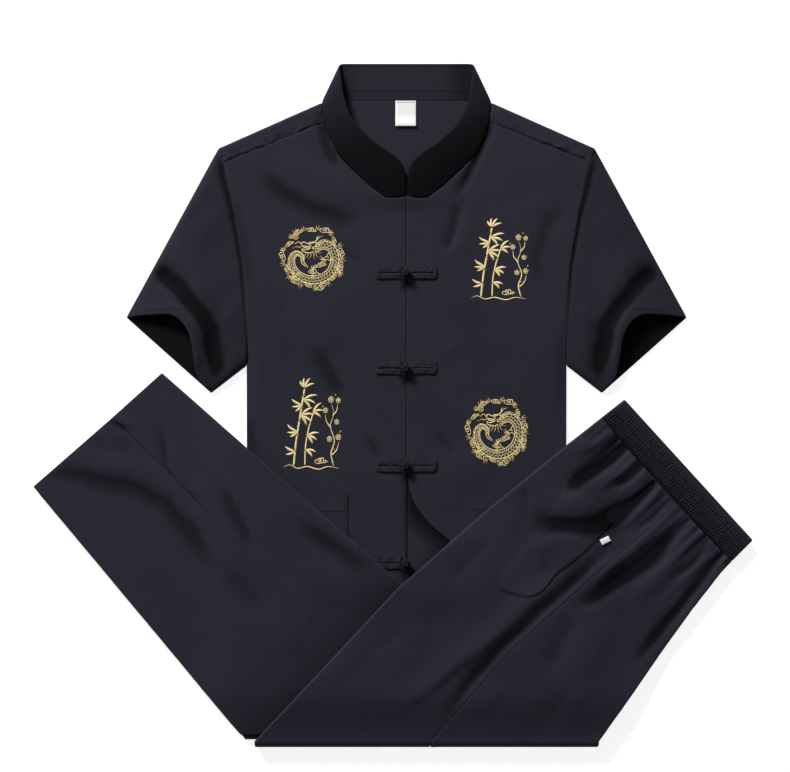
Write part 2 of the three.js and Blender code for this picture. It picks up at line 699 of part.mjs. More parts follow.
const slabProfile = [[3.7, slabTop], [2, 4], [2.9, 3], [0.5, 2.2], [0.5, 0.7], [1.9, 0]]
  .map(([inset, height]) => ({ inset, height }));

function insetLoop(loop, distance) {
  return loop.map((p, index) => {
    const before = loop[(index + loop.length - 1) % loop.length];
    const after = loop[(index + 1) % loop.length];
    const inwardOf = (from, to) => flat(-(to.y - from.y), to.x - from.x).normalize();
    const first = inwardOf(before, p);
    const second = inwardOf(p, after);
    const middle = first.clone().add(second).normalize();
    return p.clone().addScaledVector(middle, distance / Math.max(middle.dot(first), 0.35));
  });
}

function hiddenSlab({ start, finish, left, right, under, topBase, columns, rows }) {
  const heightOf = (p, height) => lerp(under(p.x, p.y), topBase(p.x, p.y) + slabTop, height / slabTop);
  const loopPoints = [
    ...steps(rows).slice(0, -1).map((t) => left(t)),
    ...steps(columns).slice(0, -1).map((t) => finish(t)),
    ...steps(rows).slice(0, -1).map((t) => right(1 - t)),
    ...steps(columns).slice(0, -1).map((t) => start(1 - t)),
  ];
  const sideLists = (loop) => ({
    left: loop.slice(0, rows + 1),
    finish: loop.slice(rows, rows + columns + 1),
    right: loop.slice(rows + columns, 2 * rows + columns + 1).reverse(),
    start: [...loop.slice(2 * rows + columns), loop[0]].reverse(),
  });
  const at = (list) => (t) => list[Math.round(t * (list.length - 1))].clone();
  const grid = (inset, height) => {
    const lists = sideLists(insetLoop(loopPoints, inset));
    const plan = fourSided({
      start: at(lists.start),
      finish: at(lists.finish),
      left: at(lists.left),
      right: at(lists.right),
    });
    return steps(rows).map((v) => steps(columns).map((u) => {
      const p = plan(u, v);
      return point(p.x, p.y, heightOf(p, height));
    }));
  };
  const positions = [];
  const add = (p) => positions.push(p.x, p.y, p.z) / 3 - 1;
  const number = (points) => points.map((row) => row.map(add));
  const first = slabProfile[0];
  const last = slabProfile[slabProfile.length - 1];
  const top = number(grid(first.inset, first.height));
  const bottom = number(grid(last.inset, last.height));
  const rim = (numbers) => [
    ...numbers.slice(0, -1).map((row) => row[0]),
    ...numbers[rows].slice(0, -1),
    ...numbers.slice(1).reverse().map((row) => row[columns]),
    ...numbers[0].slice(1).reverse(),
  ];
  const rings = [
    rim(top),
    ...slabProfile.slice(1, -1).map(({ inset, height }) =>
      insetLoop(loopPoints, inset).map((p) => add(point(p.x, p.y, heightOf(p, height))))),
    rim(bottom),
  ];
  const faces = [];
  const quad = (a, b, c, d) => faces.push(a, b, c, a, c, d);
  for (let j = 0; j < rows; j += 1) {
    for (let i = 0; i < columns; i += 1) {
      quad(top[j][i], top[j + 1][i], top[j + 1][i + 1], top[j][i + 1]);
      quad(bottom[j][i], bottom[j][i + 1], bottom[j + 1][i + 1], bottom[j + 1][i]);
    }
  }
  rings.slice(1).forEach((ring, level) => ring.forEach((number, index) => {
    const next = (index + 1) % ring.length;
    quad(rings[level][index], number, ring[next], rings[level][next]);
  }));
  return solidFrom(positions, faces);
}

function foldNose() {
  const radius = foldRadius - clothWall - layerGap;
  const back = 5.5;
  const shape = new THREE.Shape();
  shape.moveTo(back, -radius);
  shape.lineTo(0, -radius);
  steps(10).slice(1).forEach((t) => {
    shape.lineTo(-radius * Math.sin(Math.PI * t), -radius * Math.cos(Math.PI * t));
  });
  shape.lineTo(back, radius);
  const left = upperLeftEdge[4].x + 11;
  const right = upperRightEdge[2].x - 4;
  const geometry = new THREE.ExtrudeGeometry(shape, { depth: right - left, bevelEnabled: false, steps: 6 });
  geometry.rotateX(Math.PI / 2);
  geometry.rotateZ(Math.PI / 2);
  geometry.translate(left, foldAxisY, foldRadius);
  return geometry;
}

// A back pocket sewn on the upper part, its mouth gaping, with a tag in its side
function trouserPocket(heightAt) {
  const smooth = (rows) => smoothLine(pairs(rows));
  const mouthGape = 4;
  const lift = (u, v) => mouthGape * Math.sin(Math.PI * u) * (1 - smoothstep(v, 0, 0.35));
  const plan = fourSided({
    start: smooth([[221.3, -86.3], [236, -104], [249, -117], [275, -147.5]]),
    finish: smooth([[120, -211.3], [130, -225], [143.1, -233.4], [168.8, -238.3], [187.5, -230]]),
    left: smooth([[221.3, -86.3], [190, -125], [155, -168], [120, -211.3]]),
    right: smooth([[275, -147.5], [232.5, -188.8], [207, -207.9], [187.5, -230]]),
  });
  return patchOn(plan, heightAt, steps(8), steps(9), patchWall, lift);
}

// Heights of a finished piece, so that a patch rests on its real faces
function topOf(geometry) {
  const mesh = new THREE.Mesh(geometry, new THREE.MeshBasicMaterial({ side: THREE.DoubleSide }));
  const caster = new THREE.Raycaster();
  return (x, y) => {
    caster.set(point(x, y, 100), point(0, 0, -1));
    return 100 - caster.intersectObject(mesh)[0].distance;
  };
}

function trouserTag(heightAt) {
  const centre = flat(264.8, -168.8);
  const longWay = flat(0.9, -0.43);
  const shortWay = flat(0.43, 0.9);
  const corner = (u, v) => centre.clone()
    .addScaledVector(longWay, 12 * (u - 0.5))
    .addScaledVector(shortWay, 7 * (v - 0.5));
  return patchOn(corner, heightAt, steps(2), steps(1), labelWall);
}

// Joining with the cut library

const library = await Module();
library.setup();

function asManifold(geometry) {
  const bare = geometry.clone();
  bare.deleteAttribute("normal");
  bare.deleteAttribute("uv");
  const merged = mergeVertices(bare, 1e-4);
  return new library.Manifold(new library.Mesh({
    numProp: 3,
    vertProperties: new Float32Array(merged.attributes.position.array),
    triVerts: new Uint32Array(merged.index.array),
  }));
}

function joined(...geometries) {
  const [first, ...others] = geometries.map(asManifold);
  const result = others.reduce((sum, other) => sum.add(other), first).getMesh();
  const geometry = new THREE.BufferGeometry();
  geometry.setAttribute("position", new THREE.Float32BufferAttribute(result.vertProperties, 3));
  geometry.setIndex(Array.from(result.triVerts));
  geometry.computeVertexNormals();
  return geometry;
}

// Materials

const jacketCloth = new THREE.MeshStandardMaterial({ color: 0x1a1b26, roughness: 0.85, metalness: 0 });
const trouserCloth = new THREE.MeshStandardMaterial({ color: 0x1b1b28, roughness: 0.85, metalness: 0 });
const cordCloth = new THREE.MeshStandardMaterial({ color: 0x15151d, roughness: 0.7, metalness: 0 });
const labelCloth = new THREE.MeshStandardMaterial({ color: 0xe9e9e6, roughness: 0.8, metalness: 0 });

// The suit

const suit = new THREE.Group();
suit.name = "tang_suit";

function addPiece(name, geometry, material) {
  const mesh = new THREE.Mesh(geometry, material);
  mesh.name = name;
  suit.add(mesh);
}

addPiece("jacket_back", backPanel(), jacketCloth);
addPiece("jacket_right_shoulder", shoulderStrip(-1), jacketCloth);
addPiece("jacket_left_shoulder", shoulderStrip(1), jacketCloth);
addPiece("jacket_right_front", frontPanel(-1), jacketCloth);
addPiece("jacket_left_front", frontPanel(1), jacketCloth);
addPiece("jacket_right_sleeve", sleeve(-1), jacketCloth);
addPiece("jacket_left_sleeve", sleeve(1), jacketCloth);
addPiece("jacket_collar", collar(), jacketCloth);
addPiece("neck_label", neckLabel(), labelCloth);
addPiece("jacket_right_pocket", jacketPocket(-166, -55.6, -112), jacketCloth);
addPiece("jacket_left_pocket", jacketPocket(95.6, 205.6, -109), jacketCloth);

// The lowest frog is open: its left strap has swung away under the trousers, out of sight
frogPlaces.forEach((y, index) => {
  const number = index + 1;
  addPiece(`frog_${number}_right_strap`, frogStrap(jacketAxis, y, -1), cordCloth);
  if (number < frogPlaces.length) {
    addPiece(`frog_${number}_left_strap`, frogStrap(jacketAxis, y, 1), cordCloth);
  }
  addPiece(`frog_${number}_knot`, knotButton(y), cordCloth);
});

const lowerSlab = hiddenSlab({
  start: brokenLine([lowerLeftEdge[0], upperRightEdge[0]]),
  finish: brokenLine([lowerLeftEdge[1], upperRightEdge[2]]),
  left: brokenLine(lowerLeftEdge),
  right: brokenLine(upperRightEdge),
  under: underLowerPart,
  topBase: underLowerPart,
  columns: 9,
  rows: 24,
});
const upperSlab = hiddenSlab({
  start: brokenLine([upperLeftEdge[0], lowerRightEdge[0]]),
  finish: brokenLine([upperLeftEdge[4], lowerRightEdge[3]]),
  left: brokenLine(upperLeftEdge),
  right: brokenLine(lowerRightEdge),
  under: underUpperSlab,
  topBase: underUpperPart,
  columns: 10,
  rows: 24,
});

addPiece("trousers_hidden_layers", joined(lowerSlab, upperSlab, foldNose()), trouserCloth);
addPiece("trousers_lower_back_panel", lowerLegPanel(lowerLeftEdge), trouserCloth);
addPiece("trousers_lower_front_panel", lowerLegPanel(upperRightEdge), trouserCloth);
const pocketPanel = upperLegPanel(upperLeftEdge);
const pocketPanelTop = topOf(pocketPanel);
addPiece("trousers_upper_back_panel", pocketPanel, trouserCloth);
addPiece("trousers_upper_front_panel", upperLegPanel(lowerRightEdge), trouserCloth);
addPiece("trousers_waistband", waistband(), trouserCloth);
addPiece("trousers_pocket", trouserPocket(pocketPanelTop), trouserCloth);
addPiece("trousers_tag", trouserTag(pocketPanelTop), labelCloth);

export default suit;
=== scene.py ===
import math

import bpy
import numpy as np
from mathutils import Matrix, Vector
from mathutils.bvhtree import BVHTree


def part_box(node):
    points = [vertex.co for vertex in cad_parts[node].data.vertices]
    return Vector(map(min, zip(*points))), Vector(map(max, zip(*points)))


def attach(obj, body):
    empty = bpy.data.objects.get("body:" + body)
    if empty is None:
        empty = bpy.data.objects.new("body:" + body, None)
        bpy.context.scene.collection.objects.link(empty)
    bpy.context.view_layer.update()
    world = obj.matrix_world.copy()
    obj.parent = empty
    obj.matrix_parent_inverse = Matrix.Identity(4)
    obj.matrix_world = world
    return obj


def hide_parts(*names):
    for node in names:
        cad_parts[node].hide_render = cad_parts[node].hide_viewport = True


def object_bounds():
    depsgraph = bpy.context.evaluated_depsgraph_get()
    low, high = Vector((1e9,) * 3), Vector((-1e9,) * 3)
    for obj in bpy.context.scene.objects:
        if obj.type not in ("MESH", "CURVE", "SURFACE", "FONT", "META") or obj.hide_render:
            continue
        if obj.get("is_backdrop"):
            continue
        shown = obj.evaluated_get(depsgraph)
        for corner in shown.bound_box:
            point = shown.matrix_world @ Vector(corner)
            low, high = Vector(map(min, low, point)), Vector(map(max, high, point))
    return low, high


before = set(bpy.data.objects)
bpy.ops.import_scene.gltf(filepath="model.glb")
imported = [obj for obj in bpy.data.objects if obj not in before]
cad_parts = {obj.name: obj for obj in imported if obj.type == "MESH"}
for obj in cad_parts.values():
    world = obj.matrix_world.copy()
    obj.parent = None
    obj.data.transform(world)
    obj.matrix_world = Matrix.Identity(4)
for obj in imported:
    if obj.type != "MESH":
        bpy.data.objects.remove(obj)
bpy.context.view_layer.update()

mm = 0.001  # the pieces are worked out in millimetres and made in metres

# Numbers and curves


def smoothstep(value, low, high):
    share = np.clip((value - low) / (high - low), 0, 1)
    return share * share * (3 - 2 * share)


def rampDown(distance, near, far):
    return 1 - smoothstep(distance, near, far)


def lerp(first, last, share):
    return first + (last - first) * share


# A hill of height 1
def bell(value, middle, width):
    return np.exp(-(((value - middle) / width) ** 2))


def unit(vectors):
    return vectors / np.maximum(np.linalg.norm(vectors, axis=-1, keepdims=True), 1e-9)


def onCircle(angles):
    return np.stack([np.cos(angles), np.sin(angles)], axis=-1)


def lengthsAlong(points, axis=0):
    steps = np.linalg.norm(np.diff(points, axis=axis), axis=-1)
    start = np.zeros_like(np.take(steps, [0], axis=axis))
    return np.cumsum(np.concatenate([start, steps], axis=axis), axis=axis)


def brokenLine(points):
    points = np.asarray(points, float)
    along = lengthsAlong(points)

    def at(share):
        place = np.asarray(share, float) * along[-1]
        return np.stack([np.interp(place, along, values) for values in points.T], axis=-1)

    return at


def smoothLine(points):
    points = np.asarray(points, float)
    padded = np.vstack([points[:1], points, points[-1:]])
    share = np.linspace(0, 1, 16, endpoint=False)[:, None]
    spans = []
    for before, start, end, after in zip(padded, padded[1:], padded[2:], padded[3:]):
        leaving = (end - before) / 2
        arriving = (after - start) / 2
        cubic = 2 * start - 2 * end + leaving + arriving
        square = 3 * end - 3 * start - 2 * leaving - arriving
        spans.append(cubic * share**3 + square * share**2 + leaving * share + start)
    return brokenLine(np.vstack(spans + [points[-1:]]))


# Seen from above, the point of a four-sided piece at each of the shares u and v
def fourSided(start, finish, left, right):
    def plan(u, v):
        u, v = np.asarray(u, float), np.asarray(v, float)
        across, along = u[None, :, None], v[:, None, None]
        between = start(u)[None] * (1 - along) + finish(u)[None] * along
        between = between + left(v)[:, None] * (1 - across) + right(v)[:, None] * across
        between = between - start(0.0) * (1 - across) * (1 - along) - start(1.0) * across * (1 - along)
        return between - finish(0.0) * (1 - across) * along - finish(1.0) * across * along

    return plan


# The same between straight sides, from the ends of its start and of its finish
def straightSided(start, finish):
    (startLeft, startRight), (finishLeft, finishRight) = start, finish
    left, right = [startLeft, finishLeft], [startRight, finishRight]
    return fourSided(brokenLine(start), brokenLine(finish), brokenLine(left), brokenLine(right))


# Shares of a length, close together at both ends, where seams round the cloth off
def seamShares(length, step):
    near = np.array([0, 0.5, 1.2, 2.3, 4]) / length
    middle = np.linspace(near[-1], 1 - near[-1], max(3, round(length / step)))
    return np.concatenate([near[:-1], middle, 1 - near[-2::-1]])


# The shares across and along a piece, from its width, its length and its grid's step
def gridShares(form):
    return seamShares(form["width"], form["step"]), seamShares(form["length"], form["step"])


noiseSize = 97
noiseValues = np.random.default_rng(11).uniform(-1, 1, (noiseSize, noiseSize))


def softNoise(x, y, size, shift=0):
    x, y = x / size + 40.3 + 7.7 * shift, y / size + 40.9 + 3.1 * shift
    column, row = np.floor(x).astype(int), np.floor(y).astype(int)
    shareX, shareY = smoothstep(x - column, 0, 1), smoothstep(y - row, 0, 1)

    def corner(right, up):
        return noiseValues[(column + right) % noiseSize, (row + up) % noiseSize]

    low = lerp(corner(0, 0), corner(1, 0), shareX)
    high = lerp(corner(0, 1), corner(1, 1), shareX)
    return lerp(low, high, shareY)


# Meshes


def addObject(name, data):
    made = bpy.data.objects.new(name, data)
    bpy.context.scene.collection.objects.link(made)
    return made


def borderFaces(index, other):
    sides = [
        (index[0, 1:], index[0, :-1], other[0, :-1], other[0, 1:]),
        (index[-1, :-1], index[-1, 1:], other[-1, 1:], other[-1, :-1]),
    ]
    return [np.stack(side, axis=-1) for side in sides]


def gridFaces(index):
    corners = (index[:-1, :-1], index[:-1, 1:], index[1:, 1:], index[1:, :-1])
    return np.stack(corners, axis=-1).reshape(-1, 4)


def volumeOf(points, faces):
    a, b, c, d = (points[faces[:, corner]] for corner in range(4))
    return (np.cross(a, b) * c).sum() + (np.cross(a, c) * d).sum()


def facingOut(points, faces):
    return faces if volumeOf(points, faces) > 0 else faces[:, ::-1]


# Faces are rows of four corners; the triangles of a cap name their middle twice. uv is in millimetres,
# and shade is painted shade: 1 where the cloth has its full colour and less in deep places
def addMesh(name, points, faces, uv, shade=None, sharpAngle=50):
    rows = [list(dict.fromkeys(row)) for row in faces.tolist()]
    mesh = bpy.data.meshes.new(name)
    mesh.from_pydata((points * mm).tolist(), [], rows)
    layer = mesh.uv_layers.new(name="cloth")
    loops = np.zeros(len(mesh.loops), np.int32)
    mesh.loops.foreach_get("vertex_index", loops)
    layer.data.foreach_set("uv", (uv[loops] * mm).astype(np.float32).ravel())
    shade = np.ones(len(points)) if shade is None else shade
    mesh.attributes.new("shade", "FLOAT", "POINT").data.foreach_set("value", shade.astype(np.float32))
    mesh.shade_smooth()
    mesh.set_sharp_from_angle(angle=math.radians(sharpAngle))
    piece = addObject(name, mesh)
    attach(piece, "root")
    return piece


def distanceToBorder(grid, around):
    alongU = lengthsAlong(grid, axis=1)
    alongV = lengthsAlong(grid, axis=0)
    nearV = np.minimum(alongV, alongV[-1:] - alongV)
    if around:
        return nearV, alongU, alongV
    return np.minimum(np.minimum(alongU, alongU[:, -1:] - alongU), nearV), alongU, alongV


def normalsOf(grid, around):
    if around:
        wide = np.concatenate([grid[:, -1:], grid, grid[:, :1]], axis=1)
        alongU = np.gradient(wide, axis=1)[:, 1:-1]
    else:
        alongU = np.gradient(grid, axis=1)
    return unit(np.cross(alongU, np.gradient(grid, axis=0)))


seamForm = {"width": 2.4, "puckerSize": 9, "puckerReach": 7, "flatRim": 3}


# A closed sheet of cloth behind a grid of points; upAt is a place in the grid where it faces up, inner
# the grid of its other face where it isn't an even wall
def clothPiece(
    name, grid, wall, upAt=(0.5, 0.5), around=False, rounding=0.6, pucker=0.25,
    inner=None, shade=1.0, innerShade=1.0,
):
    rows, columns = grid.shape[:2]
    shades = [np.broadcast_to(value, (rows, columns)).ravel() for value in (shade, innerShade)]
    normals = normalsOf(grid, around)
    facing = np.sign(normals[int(upAt[0] * (rows - 1)), int(upAt[1] * (columns - 1)), 2])
    normals = normals * facing
    near, alongU, alongV = distanceToBorder(grid, around)
    sunk = rounding * np.clip(1 - near / seamForm["width"], 0, 1) ** 2
    ripple = pucker * softNoise(alongU, alongV, seamForm["puckerSize"], 5)
    ripple = ripple * np.exp(-near / seamForm["puckerReach"]) * smoothstep(near, 0, seamForm["flatRim"])
    outer = grid - normals * (sunk - ripple)[..., None]
    if inner is None:
        inner = grid - normals * wall
    index = np.arange(rows * columns).reshape(rows, columns)
    if around:
        index = np.hstack([index, index[:, :1]])
    other = index + rows * columns
    faces = [gridFaces(index), gridFaces(other)[:, ::-1], *borderFaces(index, other)]
    if not around:
        faces += borderFaces(index.T[::-1], other.T[::-1])
    uv = np.stack([alongU, alongV], axis=-1).reshape(-1, 2)
    points = np.concatenate([outer.reshape(-1, 3), inner.reshape(-1, 3)])
    faces = facingOut(points, np.concatenate(faces))
    piece = addMesh(name, points, faces, np.concatenate([uv, uv]), np.concatenate(shades))
    piece["flatArea"] = areaOf(outer)
    piece["flatSize"] = [float(alongU[:, -1].max()), float(alongV[-1].max())]
    return piece


def areaOf(grid):
    first = np.cross(grid[:-1, 1:] - grid[:-1, :-1], grid[1:, :-1] - grid[:-1, :-1])
    second = np.cross(grid[1:, :-1] - grid[1:, 1:], grid[:-1, 1:] - grid[1:, 1:])
    return float((np.linalg.norm(first, axis=-1) + np.linalg.norm(second, axis=-1)).sum() / 2)


# Sweeps a section along a line: the section's rows are (aside, up), the ends are closed
def sweep(line, section, widths, heights, ups=(0.0, 0.0, 1.0)):
    widths, heights = (np.broadcast_to(size, len(line)) for size in (widths, heights))
    ups = np.broadcast_to(ups, line.shape)
    asides = unit(np.cross(unit(np.gradient(line, axis=0)), ups))
    rings = line[:, None] + asides[:, None] * (section[None, :, :1] * widths[:, None, None])
    rings = rings + ups[:, None] * (section[None, :, 1:] * heights[:, None, None])
    stations, sides = rings.shape[:2]
    index = np.arange(stations * sides).reshape(stations, sides)
    index = np.hstack([index, index[:, :1]])
    points = np.concatenate([rings.reshape(-1, 3), rings[:1].mean(axis=1), rings[-1:].mean(axis=1)])
    first = np.full(sides, len(points) - 2)
    last = np.full(sides, len(points) - 1)
    startCap = np.stack([index[0, 1:], index[0, :-1], first, first], axis=-1)
    endCap = np.stack([index[-1, :-1], index[-1, 1:], last, last], axis=-1)
    along = lengthsAlong(line)
    uv = np.stack(np.broadcast_arrays(np.linspace(0, 4, sides)[None], along[:, None]), axis=-1).reshape(-1, 2)
    uv = np.concatenate([uv, [[2, 0], [2, along[-1]]]])
    return points, np.concatenate([gridFaces(index), startCap, endCap]), uv


# One piece of several closed parts, each with its points, faces and uv
def addParts(name, parts):
    points, faces, uv, count = [], [], [], 0
    for partPoints, partFaces, partUv in parts:
        points.append(partPoints)
        faces.append(facingOut(partPoints, partFaces) + count)
        uv.append(partUv)
        count += len(partPoints)
    return addMesh(name, np.concatenate(points), np.concatenate(faces), np.concatenate(uv), sharpAngle=60)


def ellipse(sides):
    return onCircle(np.linspace(0, 2 * math.pi, sides, endpoint=False))


def topOf(piece):
    tree = BVHTree.FromObject(piece, bpy.context.evaluated_depsgraph_get())

    def at(x, y):
        hits = [tree.ray_cast(Vector((a * mm, b * mm, 1)), Vector((0, 0, -1)))[0] for a, b in zip(x, y)]
        return np.array([np.nan if hit is None else hit.z / mm for hit in hits])

    return at


def boxOf(node):
    low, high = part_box(node)
    return np.array(low) / mm, np.array(high) / mm


# Sizes, from the frame where it has them

clothWall = 1.2
panelWall = 1.4  # the back's thickness and the other panels' in the solids
collarLow, collarHigh = boxOf("jacket_collar")
hemY = boxOf("jacket_back")[0][1]
jacketAxis = (collarLow[0] + collarHigh[0]) / 2
bodyHalfWidth = 199.5  # as far as shows, beside the jacket's axis
jacketFlatTop = 3.1  # a height from the floor, as is pocketTop
chestRise = 2.6
pocketTop = 4.6
knotBoxes = [boxOf(f"frog_{number}_knot") for number in (1, 2, 3, 4)]
frogPlaces = [(low[1] + high[1]) / 2 for low, high in knotBoxes]
legStack = 7.5  # a leg's folded layers, one on the other
layerGap = 0.9
foldRadius = legStack + layerGap / 2
bottomY = -427.5
foldAxisY = bottomY + foldRadius
foldEndY = -419.8  # where the straight edges of the folded trousers end
cordHeight = 4.4
seamGap = 0.3
wearerSides = {"right": -1, "left": 1}  # and the way that x runs there

# Folds: the points x, y that each runs through, half width, rise; a fold is steep on the left of its way

jacketFolds = [
    [[-90, 378, -85, 346, -78, 322, -66, 294], 4.5, -3.8],
    [[-82, 360, -70, 326, -52, 300], 5, 1.5],
    [[-164, 290, -132, 263, -94, 244, -40, 232], 8.5, -2.4],
    [[-140, 306, -90, 284, -40, 262], 15, 1.4],
    [[-58, 322, -30, 288], 6, 0.6],
    [[-100, 78, -82, 46, -60, 8], 9, -1.8],
    [[-124, 134, -90, 96, -64, 70], 15, 1.1],
    [[-182, -12, -178, -40, -166, -64], 8, -1.3],
    [[-32, -42, -15, -68], 5, -1.2],
    [[124, 358, 106, 310, 80, 262], 4.5, -3.6],
    [[114, 340, 96, 302, 78, 272], 5.5, 1.7],
    [[87, 258, 78, 220, 68, 182], 6, -1.6],
    [[106, 262, 94, 214, 86, 172], 10, 0.8],
    [[218, 248, 192, 220, 180, 182, 192, 148], 9, -1.4],
    [[206, 268, 172, 214, 164, 150], 13, 0.7],
    [[-200, 262, -186, 196, -178, 140], 10, -1.0],
    [[-160, 150, -140, 110, -122, 40], 16, -0.6],
    [[80, -58, 96, -90, 110, -128], 12, 1.1],
    [[136, -46, 122, -76, 104, -108], 9, 0.8],
    [[52, -34, 78, -58], 6, -1.0],
    [[-38, 176, -66, 196], 4.5, -0.7],
    [[62, 184, 90, 206], 5, 0.6],
    [[58, 58, 84, 84], 5, 0.6],
    [[-30, 64, -58, 90], 5, 0.6],
    [[60, 130, 90, 108, 130, 100], 14, -0.5],
]
lowerLegFolds = [
    [[-446, -88, -406, -86, -366, -93, -316, -106, -280, -123, -253, -153, -233, -186, -211, -206], 9, -2.4],
    [[-410, -62, -350, -68, -296, -84, -254, -114, -226, -152], 13, 1.3],
    [[-386, -54, -352, -58, -322, -54], 10, -1.1],
    [[-288, -24, -283, -78, -267, -102, -234, -133], 4, -1.7],
    [[-274, -40, -260, -88, -226, -122], 8, 1.0],
    [[-212, -100, -191, -143, -171, -180], 7, -1.7],
    [[-192, -92, -168, -140, -150, -176], 10, 0.9],
    [[-118, -146, -66, -180, -28, -207], 8, -2.0],
    [[-100, -136, -50, -162, -14, -190], 8, 0.9],
    [[-354, -19, -344, -27, -330, -35], 3, -1.7],
    [[-344, -12, -326, -28], 4, 0.9],
    [[-211, -206, -186, -226, -146, -266], 11, -1.1],
    [[-172, -236, -126, -284, -84, -332], 16, 0.9],
    [[-316, -176, -236, -256], 18, 0.9],
    [[-150, -96, -108, -146], 10, 0.6],
    [[-96, -226, -60, -262], 8, -0.6],
]
upperLegFolds = [
    [[236, -186, 186, -234, 117, -293, 84, -318, 4, -381], 9, 2.6],
    [[275, -178, 247, -201, 196, -246, 148, -288, 100, -338, 64, -392], 5.5, -2.8],
    [[172, -142, 215, -150, 250, -150, 284, -140, 312, -122], 9, -3.6],
    [[176, -174, 206, -168, 238, -172], 9, 1.2],
    [[164, -102, 167, -124, 165, -146], 5, -1.3],
    [[180, -196, 206, -206, 232, -206], 12, -1.2],
    [[190, -104, 226, -122, 250, -134], 12, 0.9],
    [[272, -24, 258, -34, 240, -44], 4, -1.7],
    [[298, -24, 264, -40, 224, -60], 6, 2.3],
    [[306, -40, 268, -70, 232, -96, 214, -108], 7.5, -4.8],
    [[310, -56, 284, -84, 256, -108], 5, 2.1],
    [[320, -70, 298, -92, 274, -108], 4, -2.0],
    [[330, -76, 306, -104, 280, -128], 4.5, 1.7],
    [[340, -86, 304, -120, 272, -142, 250, -152], 7, -4.6],
    [[348, -100, 314, -128, 282, -156], 5, 1.9],
    [[356, -110, 326, -140, 298, -162], 4, -1.8],
    [[370, -124, 334, -160, 284, -196, 238, -232], 7, 2.5],
    [[368, -146, 334, -186, 292, -218, 258, -238, 226, -252], 8.5, -3.6],
    [[392, -146, 354, -194, 302, -250], 8, 1.7],
    [[406, -160, 378, -196, 344, -220], 4, -1.7],
    [[432, -170, 392, -212, 342, -272, 300, -324], 4.5, -3],
    [[430, -192, 398, -234, 350, -294], 6, 1.4],
    [[440, -190, 410, -234, 368, -288], 4.5, -3.4],
    [[232, -262, 210, -292, 190, -334], 11, -1.3],
    [[270, -270, 240, -320, 206, -366], 15, 1.3],
    [[238, -328, 176, -406], 9, -0.9],
    [[140, -344, 96, -394], 12, 1.0],
    [[62, -228, 36, -258, 8, -292], 16, 1.2],
    [[124, -166, 96, -190, 68, -216], 9, -0.9],
    [[178, -118, 130, -164], 12, 0.8],
    [[40, -262, -30, -312], 8, -0.7],
    [[-20, -282, -92, -352], 11, 0.8],
]
sleeveFolds = [
    [[364, 192, 322, 174, 288, 148, 265, 122, 249, 94, 239, 44, 234, 14], 8, -3.8],
    [[330, 206, 292, 190, 262, 162, 236, 118], 14, 1.6],
    [[284, 118, 270, 86, 256, 50], 6, 1.4],
    [[256, 262, 300, 216, 336, 170], 13, -1.0],
    [[236, 240, 274, 214], 12, 0.9],
    [[216, 122, 232, 96], 8, 0.9],
]


# The distance from a line of points, less on its left, and the share of its way at the nearest point
def besideLine(points, x, y):
    points = np.asarray(points, float).reshape(-1, 2)
    along = lengthsAlong(points)
    nearest, place = np.full(x.shape, np.inf), np.zeros(x.shape)
    for first, last, passed in zip(points, points[1:], along):
        ahead = last - first
        length = np.linalg.norm(ahead)
        share = np.clip(((x - first[0]) * ahead[0] + (y - first[1]) * ahead[1]) / length**2, 0, 1)
        fromX, fromY = x - first[0] - share * ahead[0], y - first[1] - share * ahead[1]
        toRight = np.clip((fromX * ahead[1] - fromY * ahead[0]) / length / 4, 0, 1)
        distance = np.hypot(fromX, fromY) / (1 + 0.7 * toRight)
        place = np.where(distance < nearest, (passed + share * length) / along[-1], place)
        nearest = np.minimum(distance, nearest)
    return nearest, place


def foldHeight(folds, x, y):
    x, y = x + 2.5 * softNoise(x, y, 34, 1), y + 2.5 * softNoise(x, y, 34, 2)
    total = np.zeros_like(x)
    for points, width, rise in folds:
        distance, place = besideLine(points, x, y)
        swell = smoothstep(np.minimum(place, 1 - place), -0.08, 0.27)
        total = total + rise * swell * np.exp(-((distance / width) ** 2))
    return total


# Painted shade: how much of its colour the cloth keeps in its hollows
def hollowShade(height, deep=2.1, least=0.4):
    return 1 - (1 - least) * smoothstep(-height, -0.1, deep)


# The cloth's own unevenness, over the folds
def unevenness(x, y):
    return 0.5 * softNoise(x, y, 84, 3) + 0.22 * softNoise(x, y, 33, 4) + 0.06 * softNoise(x, y, 12, 6)


# Edges of the folded trousers, seen from above

upperLeftEdge = np.array([[289.4, 6.9], [216.3, -50], [112, -135], [7.1, -225.9], [-173.4, foldEndY]])
lowerRightEdge = np.array([[450, -169.4], [410.8, -208.8], [373.4, -256.8], [257, foldEndY]])
upperSideSeam = np.array([[381.3, -100], [315, -158.8], [258.8, -206.3], [148.8, -302.5], [46, foldEndY]])
lowerLeftEdge = np.array([[-450, -102.5], [-185.2, foldEndY]])
upperRightEdge = np.array([[-288.8, 40], [6.3, -218.8], [243.5, foldEndY]])
lowerSideSeam = np.array([[-351, -16], [-276.3, -87.5], [-182.5, -187.5], [-82.5, -290], [50, foldEndY]])


def asideOf(first, second, x, y):
    length = math.dist(first, second)
    return ((second[0] - first[0]) * (y - first[1]) - (second[1] - first[1]) * (x - first[0])) / length


def clearOfLowerPart(x, y):
    return asideOf(upperRightEdge[0], upperRightEdge[2], x, y)


def clearOfUpperPart(x, y):
    upper = asideOf(upperLeftEdge[3], upperLeftEdge[0], x, y)
    return np.maximum(upper, asideOf(upperLeftEdge[4], upperLeftEdge[3], x, y))


def outside(x, y, lowX, highX, lowY, highY):
    pastX = np.maximum(np.maximum(lowX - x, x - highX), 0)
    pastY = np.maximum(np.maximum(lowY - y, y - highY), 0)
    return np.hypot(pastX, pastY)


# Heights of the tops, from the floor up. Each top stands higher, by its loft, where nothing lies on it

